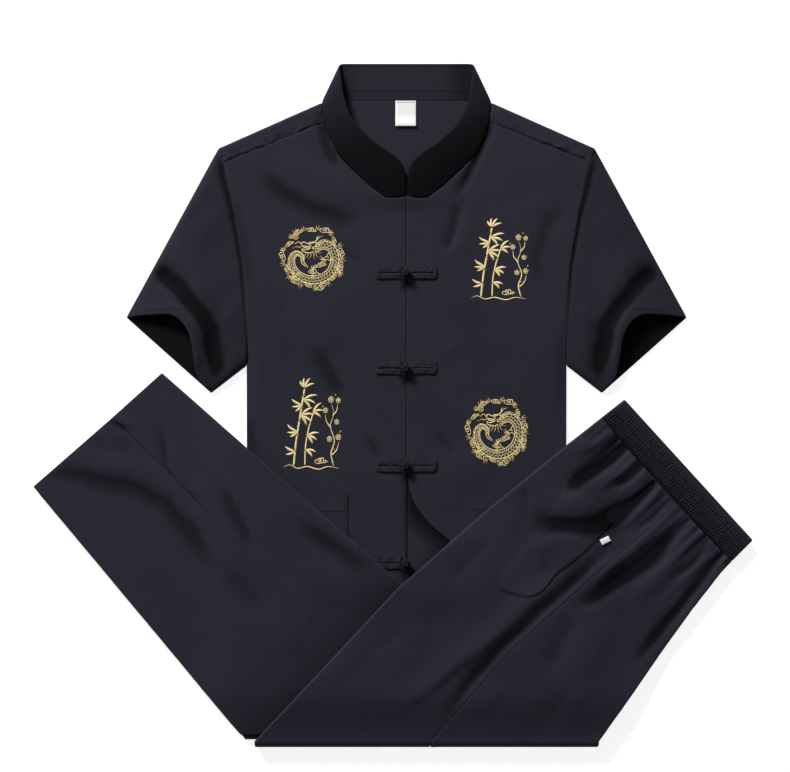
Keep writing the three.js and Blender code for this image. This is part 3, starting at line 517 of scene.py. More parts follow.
lofts = {"jacket": 1.3, "lowerPart": 2.2, "upperPart": 2.8}


def jacketRelief(x, y):
    return foldHeight(jacketFolds, x, y) + 0.6 * unevenness(x, y)


def jacketTop(x, y):
    shown = smoothstep(np.minimum(clearOfLowerPart(x, y), clearOfUpperPart(x, y)), 8, 70)
    chest = chestRise * smoothstep(y, -60, 120)
    relief = np.maximum(jacketRelief(x, y), -lofts["jacket"] - chest / 2)
    return jacketFlatTop + chest + shown * (lofts["jacket"] + relief)


# The trousers slope up over the jacket, and further over the fourth frog
def underLowerPart(x, y):
    left, right = jacketAxis - bodyHalfWidth, jacketAxis + bodyHalfWidth
    onJacket = (pocketTop + seamGap) * rampDown(outside(x, y, left, right, hemY, 300), 8, 78)
    frogRise = jacketFlatTop + seamGap + cordHeight - pocketTop
    return onJacket + frogRise * rampDown(outside(x, y, -24, 98, -210, -187), 10, 62)


def lowerPartRelief(x, y):
    return foldHeight(lowerLegFolds, x, y) + unevenness(x, y)


def lowerPartTop(x, y):
    shown = smoothstep(clearOfUpperPart(x, y), 10, 70)
    raised = lofts["lowerPart"] + np.maximum(lowerPartRelief(x, y), -lofts["lowerPart"])
    return underLowerPart(x, y) + legStack + shown * raised


def underUpperPart(x, y, rampEnd=160):
    return underLowerPart(x, y) + (legStack + layerGap) * rampDown(clearOfLowerPart(x, y), 20, rampEnd)


# 0 on the trouser pocket, where the gathers lie flatter, and 1 away from it
def besidePocket(x, y):
    fromX, fromY = x - 190, y + 167  # from the trouser pocket's middle
    along = np.abs(-0.724 * fromX - 0.69 * fromY)
    aside = np.abs(-0.69 * fromX + 0.724 * fromY)
    return smoothstep(np.maximum(along - 92, aside - 46), 0, 16)


# Gathers fan out below the waistband: place along the waist, length, width, rise
bandDepth = 37
gathers = [
    [place, length, 0.016, 1.6]
    for place, length in (
        (0.03, 40), (0.1, 65), (0.155, 90), (0.22, 55), (0.28, 120), (0.35, 60), (0.405, 85), (0.47, 45),
        (0.54, 110), (0.6, 130), (0.66, 70), (0.73, 95), (0.79, 150), (0.85, 60), (0.91, 100), (0.97, 45),
    )
]
draw = np.random.default_rng(5).uniform
for place in np.linspace(0.02, 0.98, 33):
    length = draw(14, 46)
    gathers.append([place + draw(-0.008, 0.008), length, 0.008, draw(0.4, 1.3)])
waistStart, waistEnd = upperLeftEdge[0], lowerRightEdge[0]
waistWidth = math.dist(waistStart, waistEnd)
alongWaist = (waistEnd - waistStart) / waistWidth


def gatherHeight(x, y):
    share = ((x - waistStart[0]) * alongWaist[0] + (y - waistStart[1]) * alongWaist[1]) / waistWidth
    depth = np.maximum(asideOf(waistEnd, waistStart, x, y) - bandDepth, 0)
    share = share + 0.008 * softNoise(x, y, 30, 8) * smoothstep(depth, 5, 60)
    total = np.zeros_like(x)
    for place, length, width, rise in gathers:
        spread = width * (1 + depth / 240)
        total = total + rise * np.exp(-(((share - place) / spread) ** 2) - depth / (0.6 * length))
    return total


def upperPartRelief(x, y):
    folds = foldHeight(upperLegFolds, x, y) + unevenness(x, y)
    return folds + gatherHeight(x, y) * lerp(0.3, 1, besidePocket(x, y))


def upperPartTop(x, y):
    shown = smoothstep(y - foldAxisY, 4, 60)
    raised = lofts["upperPart"] + np.maximum(upperPartRelief(x, y), -lofts["upperPart"])
    return underUpperPart(x, y) + legStack + shown * raised


# Materials


class Socket:
    def __init__(self, tree, output):
        self.tree = tree
        self.output = output

    def maths(self, operation, *others):
        node = self.tree.nodes.new("ShaderNodeMath")
        node.operation = operation
        for slot, value in zip(node.inputs, [self, *others]):
            if isinstance(value, Socket):
                self.tree.links.new(value.output, slot)
            else:
                slot.default_value = value
        return Socket(self.tree, node.outputs[0])

    def __add__(self, other):
        return self.maths("ADD", other)

    def __mul__(self, other):
        return self.maths("MULTIPLY", other)

    def __sub__(self, other):
        return self.maths("SUBTRACT", other)

    def sine(self):
        return self.maths("SINE")

    def between(self, low, high):
        return self.maths("MAXIMUM", low).maths("MINIMUM", high)


class Finish:
    def __init__(self, name):
        self.material = bpy.data.materials.new(name)
        self.material.use_nodes = True
        self.tree = self.material.node_tree
        self.shader = self.tree.nodes["Principled BSDF"]

    def node(self, kind, settings=None, output=0, **values):
        node = self.tree.nodes.new(kind)
        for name, value in (settings or {}).items():
            setattr(node, name, value)
        for name, value in values.items():
            self.put(node.inputs[name], value)
        return Socket(self.tree, node.outputs[output])

    # The place on the cloth, and its ways across and along
    def clothPlace(self):
        place = self.node("ShaderNodeUVMap", {"uv_map": "cloth"})
        axes = self.tree.nodes.new("ShaderNodeSeparateXYZ")
        self.put(axes.inputs[0], place)
        return place, Socket(self.tree, axes.outputs[0]), Socket(self.tree, axes.outputs[1])

    def put(self, slot, value):
        if isinstance(value, Socket):
            self.tree.links.new(value.output, slot)
        else:
            slot.default_value = value

    def set(self, **values):
        for name, value in values.items():
            self.put(self.shader.inputs[name.replace("_", " ")], value)

    def mixed(self, share, first, last):
        node = self.tree.nodes.new("ShaderNodeMix")
        node.data_type = "RGBA"
        self.put(node.inputs[0], share)
        self.put(node.inputs[6], first)
        self.put(node.inputs[7], last)
        return Socket(self.tree, node.outputs[2])


# Woven cloth between two colours; painted shade from the mesh's shade attribute turns it nearly black where
# that is low
def clothFinish(name, colour, lighter, weave=0.00085, bump=0.25, sheen=0.02):
    finish = Finish(name)
    shade = finish.node("ShaderNodeAttribute", {"attribute_name": "shade"}, output=2)
    place, across, along = finish.clothPlace()
    turn = 2 * math.pi / weave
    slub = finish.node("ShaderNodeTexNoise", Vector=place, Scale=260.0, Detail=3.0)
    patches = finish.node("ShaderNodeTexNoise", Vector=place, Scale=14.0, Detail=2.0)
    threads = (across * turn).sine() * (along * turn).sine()
    share = (patches * 0.6 + slub * 0.5 - 0.1).between(0, 1)
    height = threads * 0.35 + slub * 0.9
    normal = finish.node("ShaderNodeBump", Strength=bump, Distance=0.0004, Height=height)
    lit = finish.mixed(share, (*colour, 1), (*lighter, 1))
    finish.set(Base_Color=finish.mixed(shade, (0.002, 0.002, 0.003, 1), lit), Normal=normal)
    finish.set(Roughness=0.9, Specular_IOR_Level=0.1, Sheen_Weight=sheen, Sheen_Roughness=0.5)
    return finish.material


# Threads laid side by side, across the piece's length
def threadFinish(name, colour, deeper, roughness, sheen=0.2, specular=0.5, pitch=0.0006):
    finish = Finish(name)
    place, _, along = finish.clothPlace()
    threads = (along * (2 * math.pi / pitch)).sine()
    tone = finish.node("ShaderNodeTexNoise", Vector=place, Scale=180.0, Detail=1.0)
    normal = finish.node("ShaderNodeBump", Strength=0.4, Distance=0.0003, Height=threads)
    finish.set(Base_Color=finish.mixed((tone * 1.6 - 0.3).between(0, 1), (*deeper, 1), (*colour, 1)))
    finish.set(Normal=normal, Roughness=roughness, Specular_IOR_Level=specular, Sheen_Weight=sheen)
    return finish.material


jacketCloth = clothFinish("jacketCloth", (0.0203, 0.0193, 0.0295), (0.0255, 0.025, 0.038))
trouserCloth = clothFinish("trouserCloth", (0.0205, 0.0187, 0.0302), (0.0258, 0.0237, 0.0375))
# The knots' cord, painted darker than the straps' cloth as painted shade
shadedCordCloth = clothFinish("shadedCordCloth", (0.0075, 0.007, 0.0105), (0.0115, 0.0108, 0.0155), sheen=0.03)
labelCloth = clothFinish("labelCloth", (0.86, 0.86, 0.85), (0.9, 0.9, 0.89), weave=0.0004, bump=0.12, sheen=0)
navyThread = threadFinish("navyThread", (0.0125, 0.012, 0.019), (0.008, 0.0078, 0.013), 0.8, 0.02, 0.1)
goldThread = threadFinish("goldThread", (0.95, 0.82, 0.44), (0.76, 0.56, 0.2), 0.42)
amberThread = threadFinish("amberThread", (0.85, 0.62, 0.24), (0.62, 0.36, 0.1), 0.42)


def dress(piece, material, slot, *nodes):
    piece.data.materials.append(material)
    if nodes:
        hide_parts(*nodes)
    return piece


def declareSheet(piece, sewnIn=0):
    width, length = piece["flatSize"][0] * mm, (piece["flatSize"][1] + sewnIn) * mm
    area = min(piece["flatArea"] * mm * mm, width * length)
    del piece["flatArea"], piece["flatSize"]


print("materials made")

# Collar

# Sections from the centre front to the middle of the back: seam offset, y, z and rim offset, y, z
collarRows = np.array([
    [0.3, 262, 6, 2.6, 297, 9],
    [13, 259.5, 6.2, 7, 303, 10.5],
    [26, 260, 6.4, 12, 308.5, 11.5],
    [45, 274, 6.8, 24, 317.5, 12.5],
    [69, 296, 7, 37, 326, 13.5],
    [85, 312, 7, 48, 335.5, 14],
    [97, 336, 7, 61, 348, 14.5],
    [103, 354, 7, 72, 365, 14.5],
    [105, 366, 6.8, 78.5, 386, 13.5],
    [105.8, 374, 6.2, 82, 407, 12],
    [106, 379.6, 3.6, 84.4, 423, 7],
    [104, 382.2, 0.7, 82.5, 427, 1.8],
    [97, 382.4, 0, 76, 427.5, 0],
    [60, 382.4, 0, 50, 427.5, 0],
    [20, 382.4, 0, 17, 427.5, 0],
])
shoulderStation = 7  # the row where the shoulder's seam ends
neckClearance = 0.85
# Where a shoulder folds over at the neck and at its tip, and where its seam ends at the tip
neckFold = np.array([107, 378.2])
tipFold = np.array([236, 321])
seamTip = np.array([229.6, 304.2])
armhole = np.array([[200.4, 49], [200.4, 118], [205, 178], [215, 238], [224.5, 281], [229.6, 304]])


def neckEdge():
    seam = collarRows[: shoulderStation + 1, :2]
    ahead = np.gradient(seam, axis=0)
    moved = seam + neckClearance * unit(np.stack([ahead[:, 1], -ahead[:, 0]], axis=-1))
    moved[:, 0] = np.maximum(moved[:, 0], seamGap / 2)
    return moved


collar = {
    "wall": 1.8, "alongSteps": 200, "depthSteps": 18, "arch": 1.2,
    "stitches": ((84, 393.75), (80, 424.6)),  # a row's reach to either side and its y
}


def collarGrid():
    stations = np.vstack([collarRows * [-1, 1, 1, -1, 1, 1], collarRows[::-1]])
    places = np.linspace(0, 1, len(stations))
    u = np.linspace(0, 1, collar["alongSteps"])
    middle = np.linspace(0.1, 0.9, collar["depthSteps"])
    depth = np.concatenate([[0, 0.012, 0.03, 0.06], middle, [0.94, 0.97, 0.988, 1]])

    def edge(points):
        along = lengthsAlong(points)
        return smoothLine(points)(np.interp(u, places, along / along[-1]))

    v = depth[:, None, None]
    grid = edge(stations[:, :3])[None] * (1 - v) + edge(stations[:, 3:])[None] * v
    grid[..., 0] += jacketAxis
    arch = collar["arch"] * np.sin(np.pi * depth)[:, None] * smoothstep(grid[..., 2], 3, 7)
    grid[..., 2] = np.maximum(grid[..., 2] + arch, 0)
    return grid


# Painted shade: darker towards the front, and inside towards its bends
def makeCollar():
    grid = collarGrid()
    outside = lerp(0.02, 0.45, smoothstep(grid[..., 1], 300, 400))
    inside = lerp(0.3, 0.8, smoothstep(82 - np.abs(grid[..., 0] - jacketAxis + 8), 0, 34))
    return clothPiece(
        "collar_cloth", grid, collar["wall"], upAt=(0.5, 0.12), rounding=0.5, pucker=0.15,
        shade=outside, innerShade=inside,
    )


collarPiece = dress(makeCollar(), jacketCloth, "jacket_cloth", "jacket_collar")
print("collar made")

# Jacket back: the flat panel, and a strip over each shoulder to the front's seam

back = {"width": 400, "length": 735, "step": 7, "topHalf": 95, "topY": 383.1, "flatSize": [472.0, 768.0]}
# The left front's free edge, from the neck down, beside the jacket's axis
swungEdge = [
    [0.15, 262], [0.15, 160], [0.15, 60], [0.15, -40], [0.15, -82], [6, -112], [15, -131], [31, -151],
    [45, -163], [58, -175], [60, -188], [44, -206], [20, -232], [6, -268], [0.15, -300], [0.15, hemY],
]


def swungEdgeAt(y):
    places = np.array(swungEdge[::-1])
    return np.interp(y, places[:, 1], places[:, 0])


def makeBackPanel():
    half = np.array([[back["topHalf"], back["topY"]], neckFold, tipFold])
    top = np.vstack([half[::-1] * [-1, 1], half])
    sideLine = np.vstack([[[bodyHalfWidth, hemY]], armhole, [tipFold]])
    plan = fourSided(
        brokenLine([[-bodyHalfWidth, hemY], [bodyHalfWidth, hemY]]),
        brokenLine(top),
        brokenLine(sideLine * [-1, 1]),
        brokenLine(sideLine),
    )
    flat = plan(*gridShares(back))
    grid = np.dstack([jacketAxis + flat[..., 0], flat[..., 1], np.full(flat.shape[:2], panelWall)])
    under = grid * [1, 1, 0]
    # Where it shows beside the swung edge, it is in the front's shadow
    toEdge = swungEdgeAt(grid[..., 1]) - (grid[..., 0] - jacketAxis)
    inFlap = rampDown(toEdge, 5, 42) * smoothstep(grid[..., 0], jacketAxis - 6, jacketAxis + 4)
    inFlap = inFlap * rampDown(np.abs(grid[..., 1] + 180), 84, 96)
    return clothPiece("back_cloth", grid, panelWall, inner=under, pucker=0, shade=1 - 0.97 * inFlap)


# A strip lies under the fold, bends round it and comes forward; folded says between which shares of its
# length it bends
shoulder = {
    "width": 142, "step": 3, "start": 9, "bend": 3, "folded": (0.2, 0.7), "lumps": 1.1,
    "puckers": {"right": 0.8, "left": 0.3},
}


def shoulderGrid(side):
    seamNeck = collarRows[shoulderStation, :2] + [0.6, 0.3]
    u = seamShares(shoulder["width"], shoulder["step"])[None]
    foldPoint = lerp(neckFold, tipFold, u[..., None])
    seamPoint = lerp(seamNeck, seamTip, u[..., None])
    reach = np.linalg.norm(seamPoint - foldPoint, axis=-1)
    inward = (seamPoint - foldPoint) / reach[..., None]
    bend, (first, last) = shoulder["bend"], shoulder["folded"]
    v = [np.linspace(0, first, 4), np.linspace(first, last, 15)[1:], np.linspace(last, 1, 14)[1:-1]]
    v = np.concatenate([*v, [0.98, 0.988, 0.995, 1]])[:, None]
    edgeHeight = jacketTop(jacketAxis + side * seamPoint[..., 0], seamPoint[..., 1])
    angle = math.pi * ((np.clip(v, first, last) - first) / (last - first) - 0.5)
    inset = bend * (1 - np.cos(angle))
    inset = np.where(v < first, lerp(shoulder["start"], bend, v / first), inset)
    inset = np.where(v > last, lerp(bend, reach, (v - last) / (1 - last)), inset)
    place = foldPoint + inward * inset[..., None]
    x = jacketAxis + side * place[..., 0]
    lumps = shoulder["lumps"] * softNoise(x, place[..., 1], 7, 9) * rampDown(reach - inset, 2, 9)
    own = jacketTop(x, place[..., 1]) + lumps
    height = (edgeHeight / 2) * (1 + np.sin(angle))
    over = lerp(edgeHeight, own, smoothstep(inset, bend, bend + 8))
    height = np.where(v > last, over, np.where(v < first, 0, height))
    return np.dstack([x, place[..., 1], height])


def joinMeshes(pieces):
    bpy.ops.object.select_all(action="DESELECT")
    for piece in pieces:
        piece.select_set(True)
    bpy.context.view_layer.objects.active = pieces[0]
    bpy.ops.object.join()
    return pieces[0]


backPiece = makeBackPanel()
shoulders = []
for name, side in wearerSides.items():
    pucker = shoulder["puckers"][name]
    piece = clothPiece(f"{name}_shoulder", shoulderGrid(side), clothWall, upAt=(0.9, 0.5), pucker=pucker)
    shoulders.append(piece)
backArea = backPiece["flatArea"] + sum(piece["flatArea"] for piece in shoulders)
backPiece = joinMeshes([backPiece, *shoulders])
backPiece["flatArea"] = backArea
backPiece["flatSize"] = back["flatSize"]
dress(backPiece, jacketCloth, "jacket_cloth", "jacket_back", "jacket_right_shoulder", "jacket_left_shoulder")
print("back made")

# Fronts: the left one's free edge swings away below the third frog

front = {"width": 232, "length": 650, "step": 3, "belowKnot": 14, "sink": 1.1}
frontTip = np.array([229.4, 303.6])


def frontPlan(side):
    neck = neckEdge()
    if side > 0:
        swung = smoothLine(swungEdge[::-1])

        def left(share):
            line = swung(share)
            line[..., 0] = np.maximum(line[..., 0], seamGap / 2)
            return line
    else:
        left = brokenLine([[seamGap / 2, hemY], [seamGap / 2, neck[0, 1]]])
    top = np.vstack([[left(1.0)], neck[1:], [frontTip]])
    return fourSided(
        brokenLine([left(0.0), [bodyHalfWidth, hemY]]),
        brokenLine(top),
        left,
        brokenLine(np.vstack([[[bodyHalfWidth, hemY]], armhole[:-1], [frontTip]])),
    )


# The cloth sinks in below each knot
def frontTopAt(x, y):
    top = jacketTop(x, y)
    for frogY in frogPlaces:
        top = top - front["sink"] * bell(y, frogY - front["belowKnot"], 9) * bell(x, jacketAxis - 1, 5)
    return top


# Its side drops to where it folds under; the right one also sinks where the left one has swung away
def frontGrid(side):
    u, v = gridShares(front)
    flat = frontPlan(side)(u, v)
    x, y = jacketAxis + side * flat[..., 0], flat[..., 1]
    top = frontTopAt(x, y)
    drop = (top - jacketFlatTop) * rampDown(y, 40, 110) * smoothstep(u, 0.9, 1) ** 2
    if side < 0:
        atEdge = rampDown(np.abs(x - jacketAxis), 0, 8) ** 1.5
        drop = drop + np.maximum(top - 3.2, 0) * atEdge * rampDown(np.abs(y + 180), 74, 92)
    return np.dstack([x, y, top - drop])


# Painted shade in the folds' hollows, with painted shadows below the knots and under the collar
def frontShade(grid):
    x, y = grid[..., 0], grid[..., 1]
    shade = hollowShade(foldHeight(jacketFolds, x, y))
    for frogY in frogPlaces:
        shade = shade - 1.1 * bell(y, frogY - front["belowKnot"], 8) * bell(x, jacketAxis - 1.5, 5)
    underCollar = bell(y, 252, 9) * bell(x, jacketAxis, 60)
    return np.clip(shade - 0.35 * underCollar, 0.15, 1)


fronts = {}
for name, side in wearerSides.items():
    grid = frontGrid(side)
    piece = clothPiece(f"{name}_front_cloth", grid, clothWall, pucker=0.3, shade=frontShade(grid))
    fronts[name] = dress(piece, jacketCloth, "jacket_cloth", f"jacket_{name}_front")
print("fronts made")

# Sleeves: flattened tubes whose upper layer arches back at the cuff

cuffUpper = smoothLine([[351, 110], [318, 113], [290, 111], [271, 87.5], [262, 37.5], [244.5, 15]])
cuffLower = brokenLine([[351.6, 110], [244.5, 14.6]])
sleeveEnd = brokenLine(np.vstack([[tipFold], armhole[::-1]]))
sleeveOutward = np.array([0.93, -0.37])
sleeve = {
    "upperSteps": 60, "lowerSteps": 22, "alongSteps": 64,
    "cuffHeight": 4.6, "cuffArch": 10, "edge": 1.65, "hem": 19,
}


# The grid runs round the sleeve: an edge, the upper layer, the other edge and the lower layer. It gives
# the outer face, or with a wall the inner one, or the upper layer's painted shade
def sleeveGrid(side, wall, withShade=False):
    nearEdge = [0.006, 0.015, 0.03, 0.05]
    farEdge = [0.95, 0.97, 0.985, 0.994]
    upper = np.concatenate([nearEdge, np.linspace(0.075, 0.925, sleeve["upperSteps"]), farEdge])
    lower = np.linspace(0.985, 0.015, sleeve["lowerSteps"])
    share = np.concatenate([[0], upper, [1], lower])[None]
    isEdge = (share == 0) | (share == 1)
    isTop = (np.arange(share.size) <= len(upper))[None] & ~isEdge
    along = np.linspace(0.025, 0.97, sleeve["alongSteps"])
    v = np.concatenate([[0, 0.003, 0.007, 0.013], along, [0.983, 0.991, 0.996, 1]])[:, None]
    narrow = lerp(share, 0.5, 0.014 if wall else 0)
    begin = sleeveEnd(narrow) + 0.1 * sleeveOutward
    cuff = np.where((isTop | isEdge)[..., None], cuffUpper(narrow), cuffLower(narrow))
    flat = lerp(begin, cuff, v[..., None])
    start = sleeveEnd(share)
    atBody = jacketTop(jacketAxis + side * start[..., 0], start[..., 1])
    arch = np.sin(np.pi * share)
    atCuff = sleeve["cuffHeight"] + sleeve["cuffArch"] * arch**1.4
    dip = 1.5 * bell(v, 0.55, 0.16) * arch
    x, y = flat[..., 0], flat[..., 1]
    folds = foldHeight(sleeveFolds, x - 2 * side, y - 2 * side)
    folds = folds * smoothstep(arch, 0, 0.35) * smoothstep(v, 0.04, 0.2) * rampDown(v, 0.86, 1.06)
    besideSeam = bell(v, 0.028, 0.03) * rampDown(share, 0.45, 1) * smoothstep(share, 0, 0.08)
    if withShade:
        # Painted shade in the hollows and beside the armhole seam, and a little over the whole sleeve
        shade = hollowShade(np.where(isTop, folds, 0), deep=2.3, least=0.04) - 0.9 * besideSeam * isTop
        return np.clip(0.84 * shade, 0.03, 1)
    folds = folds + 0.7 * unevenness(x * side, y) * smoothstep(arch, 0, 0.35) - 1.6 * besideSeam
    hem = 0.35 * smoothstep(v, 0.895, 0.905) * smoothstep(arch, 0, 0.2)
    full = lerp(atBody, atCuff, smoothstep(v, 0.25, 1)) + 2.2 * np.sin(np.pi * v) * share
    full = full - dip + folds + hem
    near = np.clip(np.minimum(share, 1 - share) / 0.06, 0, 1)
    height = 2.2 + (full - 2.2) * np.sqrt(1 - (1 - near) ** 2)
    height = np.where(isTop, np.maximum(height - wall, 1.6 + wall / 4), wall)
    height = np.where(isEdge, sleeve["edge"], height)
    return np.dstack([jacketAxis + side * x, y, height])


sleeves = {}
for name, side in wearerSides.items():
    # The tube's inner face is painted nearly black, as painted shade
    piece = clothPiece(
        f"{name}_sleeve_cloth", sleeveGrid(side, 0), clothWall, upAt=(0.4, 0.3), around=True,
        rounding=0.45, pucker=0.3, inner=sleeveGrid(side, clothWall),
        shade=sleeveGrid(side, 0, withShade=True), innerShade=0.04,
    )
    sleeves[name] = dress(piece, jacketCloth, "jacket_cloth", f"jacket_{name}_sleeve")
print("sleeves made")

# Patches that lie on a panel: lift raises all of one, relief its upper face alone


def patchPiece(name, flat, heights, wall, lift=0, relief=0, rounding=0.5, shade=1.0):
    grid = np.dstack([flat[..., 0], flat[..., 1], heights + seamGap + wall + lift + relief])
    under = grid.copy()
    under[..., 2] = np.minimum(heights + lift + 0.1, grid[..., 2] - 0.3)
    return clothPiece(name, grid, wall, inner=under, rounding=rounding, pucker=0.12, shade=shade)


patchWall = 0.8
pocket = {"width": 110, "length": 130, "step": 3, "corner": 14, "hem": 21}


def makeJacketPocket(name, node):
    (left, bottom, _), (right, mouth, _) = boxOf(node)
    corner = pocket["corner"]
    edges = []
    for edgeX, inward in ((left, corner), (right, -corner)):
        edges.append(smoothLine([
            [edgeX, mouth],
            [edgeX, bottom + 2 * corner],
            [edgeX + 0.2 * inward, bottom + 0.4 * corner],
            [edgeX + inward, bottom],
        ]))
    plan = fourSided(
        brokenLine([[left, mouth], [right, mouth]]),
        brokenLine([[left + corner, bottom], [right - corner, bottom]]),
        *edges,
    )
    u, v = gridShares(pocket)
    flat = plan(u, v)
    toSide = pocket["width"] * np.minimum(u, 1 - u)[None]
    hem = 0.15 * rampDown(v * pocket["length"], pocket["hem"], pocket["hem"] + 1.5)[:, None]
    relief = hem - 0.75 * rampDown(toSide, 0, 5) * smoothstep(v, 0, 0.1)[:, None]
    # Painted shade along the pocket's mouth
    shade = lerp(0.4, 1, smoothstep(mouth - flat[..., 1], 0, 3))
    heights = jacketTop(flat[..., 0], flat[..., 1])
    return patchPiece(name, flat, heights, patchWall, relief=relief, shade=shade)


pockets = {}
for name in wearerSides:
    piece = makeJacketPocket(f"{name}_pocket_cloth", f"jacket_{name}_pocket")
    pockets[name] = dress(piece, jacketCloth, "jacket_cloth", f"jacket_{name}_pocket")


label = {"width": 25, "length": 31, "step": 1.5, "wall": 0.8, "curl": 1.4}


def makeNeckLabel():
    (left, bottom, _), (right, top, _) = boxOf("neck_label")
    plan = straightSided([[left, top], [right, top]], [[left, bottom], [right, bottom]])
    u, v = gridShares(label)
    flat = plan(u, v)
    curl = label["curl"] * smoothstep(v, 0.55, 1)[:, None]
    heights = np.full(flat.shape[:2], panelWall)
    return patchPiece("neck_label_cloth", flat, heights, label["wall"], lift=curl, rounding=0.3)


labelPiece = dress(makeNeckLabel(), labelCloth, "label_cloth", "neck_label")
print("pockets and label made")

# Frogs: a strap is a flat band with a groove along its middle; the knot is a ball of cord

frog = {"inner": 6, "reach": 38.5, "halfHeight": 8.2, "wall": 1.3, "groove": 0.9, "tape": 0.3}
knot = {"cord": 1.75, "turns": 3, "waves": 5, "tilt": math.radians(58), "flatness": 0.86, "core": 1.6}


def makeStrap(name, centreX, centreY, side):
    u = seamShares(frog["reach"] - frog["inner"] - 1.5, 0.9)
    v = seamShares(2 * frog["halfHeight"], 0.7)
    along, across = u[None, :], 2 * v[:, None] - 1
    reach = frog["reach"] - 1.5 * np.abs(across) ** 5
    x = centreX + side * lerp(frog["inner"], reach, along)
    y = centreY + frog["halfHeight"] * across * (1 - 0.05 * smoothstep(along, 0.8, 1))
    y = y + 0.5 * softNoise(x, 0 * y + centreY, 13, 3)
    groove = bell(across, 0, 0.09) * rampDown(along, 0.86, 0.95)
    tapeEdges = bell(np.abs(across), 0.8, 0.06)
    relief = 0.5 * softNoise(x, y, 4.2, 4) - frog["groove"] * groove - frog["tape"] * tapeEdges
    # Painted shade: a little over the whole band, more in its groove and along the tape's edges, most at its
    # borders, deepest at the bottom
    nearBorder = smoothstep(np.abs(across), 0.84, 0.96) * lerp(0.7, 0.3, smoothstep(across, -1, 1))
    shade = 0.86 - 0.45 * groove - 0.25 * tapeEdges - nearBorder
    flat = np.dstack([x, y])
    return patchPiece(name, flat, jacketTop(x, y), frog["wall"], relief=relief, rounding=0.8, shade=shade)


# A closed cord that winds round a ball, up and down in waves, and the ball inside it
def knotParts(centre, radius):
    angles = np.linspace(0, 2 * math.pi, 260)
    latitude = knot["tilt"] * np.sin(knot["waves"] * angles)
    longitude = knot["turns"] * angles
    reach = radius - knot["cord"] + 0.5 * np.cos(2 * knot["waves"] * angles)
    outwards = np.column_stack([np.cos(latitude)[:, None] * onCircle(longitude), np.sin(latitude)])
    line = centre + outwards * (reach[:, None] * np.array([1, 1, knot["flatness"]]))
    coreAngles = np.linspace(-math.pi / 2, math.pi / 2, 10)
    coreRadius = radius - knot["core"]
    core = centre + np.outer(coreRadius * knot["flatness"] * np.sin(coreAngles), [0, 0, 1])
    coreWidths = np.maximum(coreRadius * np.cos(coreAngles), 0.05)
    return [
        sweep(line, ellipse(8), knot["cord"], knot["cord"], outwards),
        sweep(core, ellipse(14), coreWidths, coreWidths, (0.0, 1.0, 0.0)),
    ]


for number, frogY in enumerate(frogPlaces, start=1):
    for name, side in wearerSides.items():
        node = f"frog_{number}_{name}_strap"
        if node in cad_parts:
            piece = makeStrap(f"frog_{number}_{name}_band", jacketAxis, frogY, side)
            del piece["flatArea"], piece["flatSize"]
            dress(piece, jacketCloth, "frog_cord", node)
    low, high = knotBoxes[number - 1]
    piece = addParts(f"frog_{number}_ball", knotParts((low + high) / 2, (high[0] - low[0]) / 2))
    dress(piece, shadedCordCloth, "frog_cord", f"frog_{number}_knot")
print("frogs made")

# Embroidery: ribbons of satin stitch, each a line of points with a half width. A stroke ends rounded when
# it is even, comes to a point at both ends as a leaf, and thins out from its start as a flick

ribbonSection = np.array([[-1, 0], [-0.8, 0.55], [-0.35, 0.9], [0.35, 0.9], [0.8, 0.55], [1, 0]])
strokeShapes = {
    "even": lambda share: np.minimum(1, 0.4 + 10 * np.minimum(share, 1 - share)),
    "leaf": lambda share: 0.1 + 0.9 * np.sin(np.pi * share) ** 0.8,
    "flick": lambda share: np.minimum(1, 0.5 + 8 * share) * (1 - 0.9 * share**1.5),
}


ribbon = {"step": 1.1, "highest": 0.75, "lift": 0.05}


def ribbonPart(points, half, shape):
    share = np.linspace(0, 1, max(5, round(lengthsAlong(points)[-1] / ribbon["step"]) + 1))
    flat = smoothLine(points)(share)
    widths = half * strokeShapes[shape](share)
    line = np.column_stack([flat, frontTopAt(flat[:, 0], flat[:, 1]) + ribbon["lift"]])
    return sweep(line, ribbonSection, widths, np.minimum(widths, ribbon["highest"]))


def embroider(name, centre, scale, strokes, material):
    parts = []
    for points, half, shape in strokes:
        parts.append(ribbonPart(np.asarray(points, float) * scale + centre, half, shape))
    piece = addParts(name, parts)
    piece.data.materials.append(material)
    return piece


# A figure about the origin, made larger, turned and moved to x, y
def turned(points, x, y, angle, size):
    angle = math.radians(angle)
    turn = np.array([[math.cos(angle), math.sin(angle)], [-math.sin(angle), math.cos(angle)]])
    return np.asarray(points, float) * size @ turn + [x, y]


def arc(x, y, radius, start, end, finalRadius=None, count=13):
    angles = np.radians(np.linspace(start, end, count))
    radii = np.linspace(radius, radius if finalRadius is None else finalRadius, count)
    return radii[:, None] * onCircle(angles) + [x, y]


# A curled cloud that trails off to its right
def cloudStrokes(x, y, angle, size, half):
    lines = [
        arc(0, 0, 0.4, -60, 440, 0.1, 20),
        arc(-0.46, -0.12, 0.3, 70, 265),
        arc(0.5, 0.02, 0.3, 160, -60),
        [[-0.5, -0.42], [-0.1, -0.5], [0.5, -0.44], [1.0, -0.5], [1.5, -0.34]],
        [[0.7, -0.22], [1.0, -0.24], [1.3, -0.1]],
    ]
    return [(turned(line, x, y, angle, size), half, "even") for line in lines]


def flameStrokes(x, y, angle, size, half):
    lines = [
        [[0, 0], [0.3, 0.12], [0.5, 0.42], [0.42, 0.8]],
        [[0, 0.1], [0.02, 0.42], [0.2, 0.72], [0.12, 1.1]],
        [[-0.05, 0], [-0.28, 0.22], [-0.26, 0.52], [-0.42, 0.84]],
    ]
    return [(turned(line, x, y, angle, size), half, "flick") for line in lines]


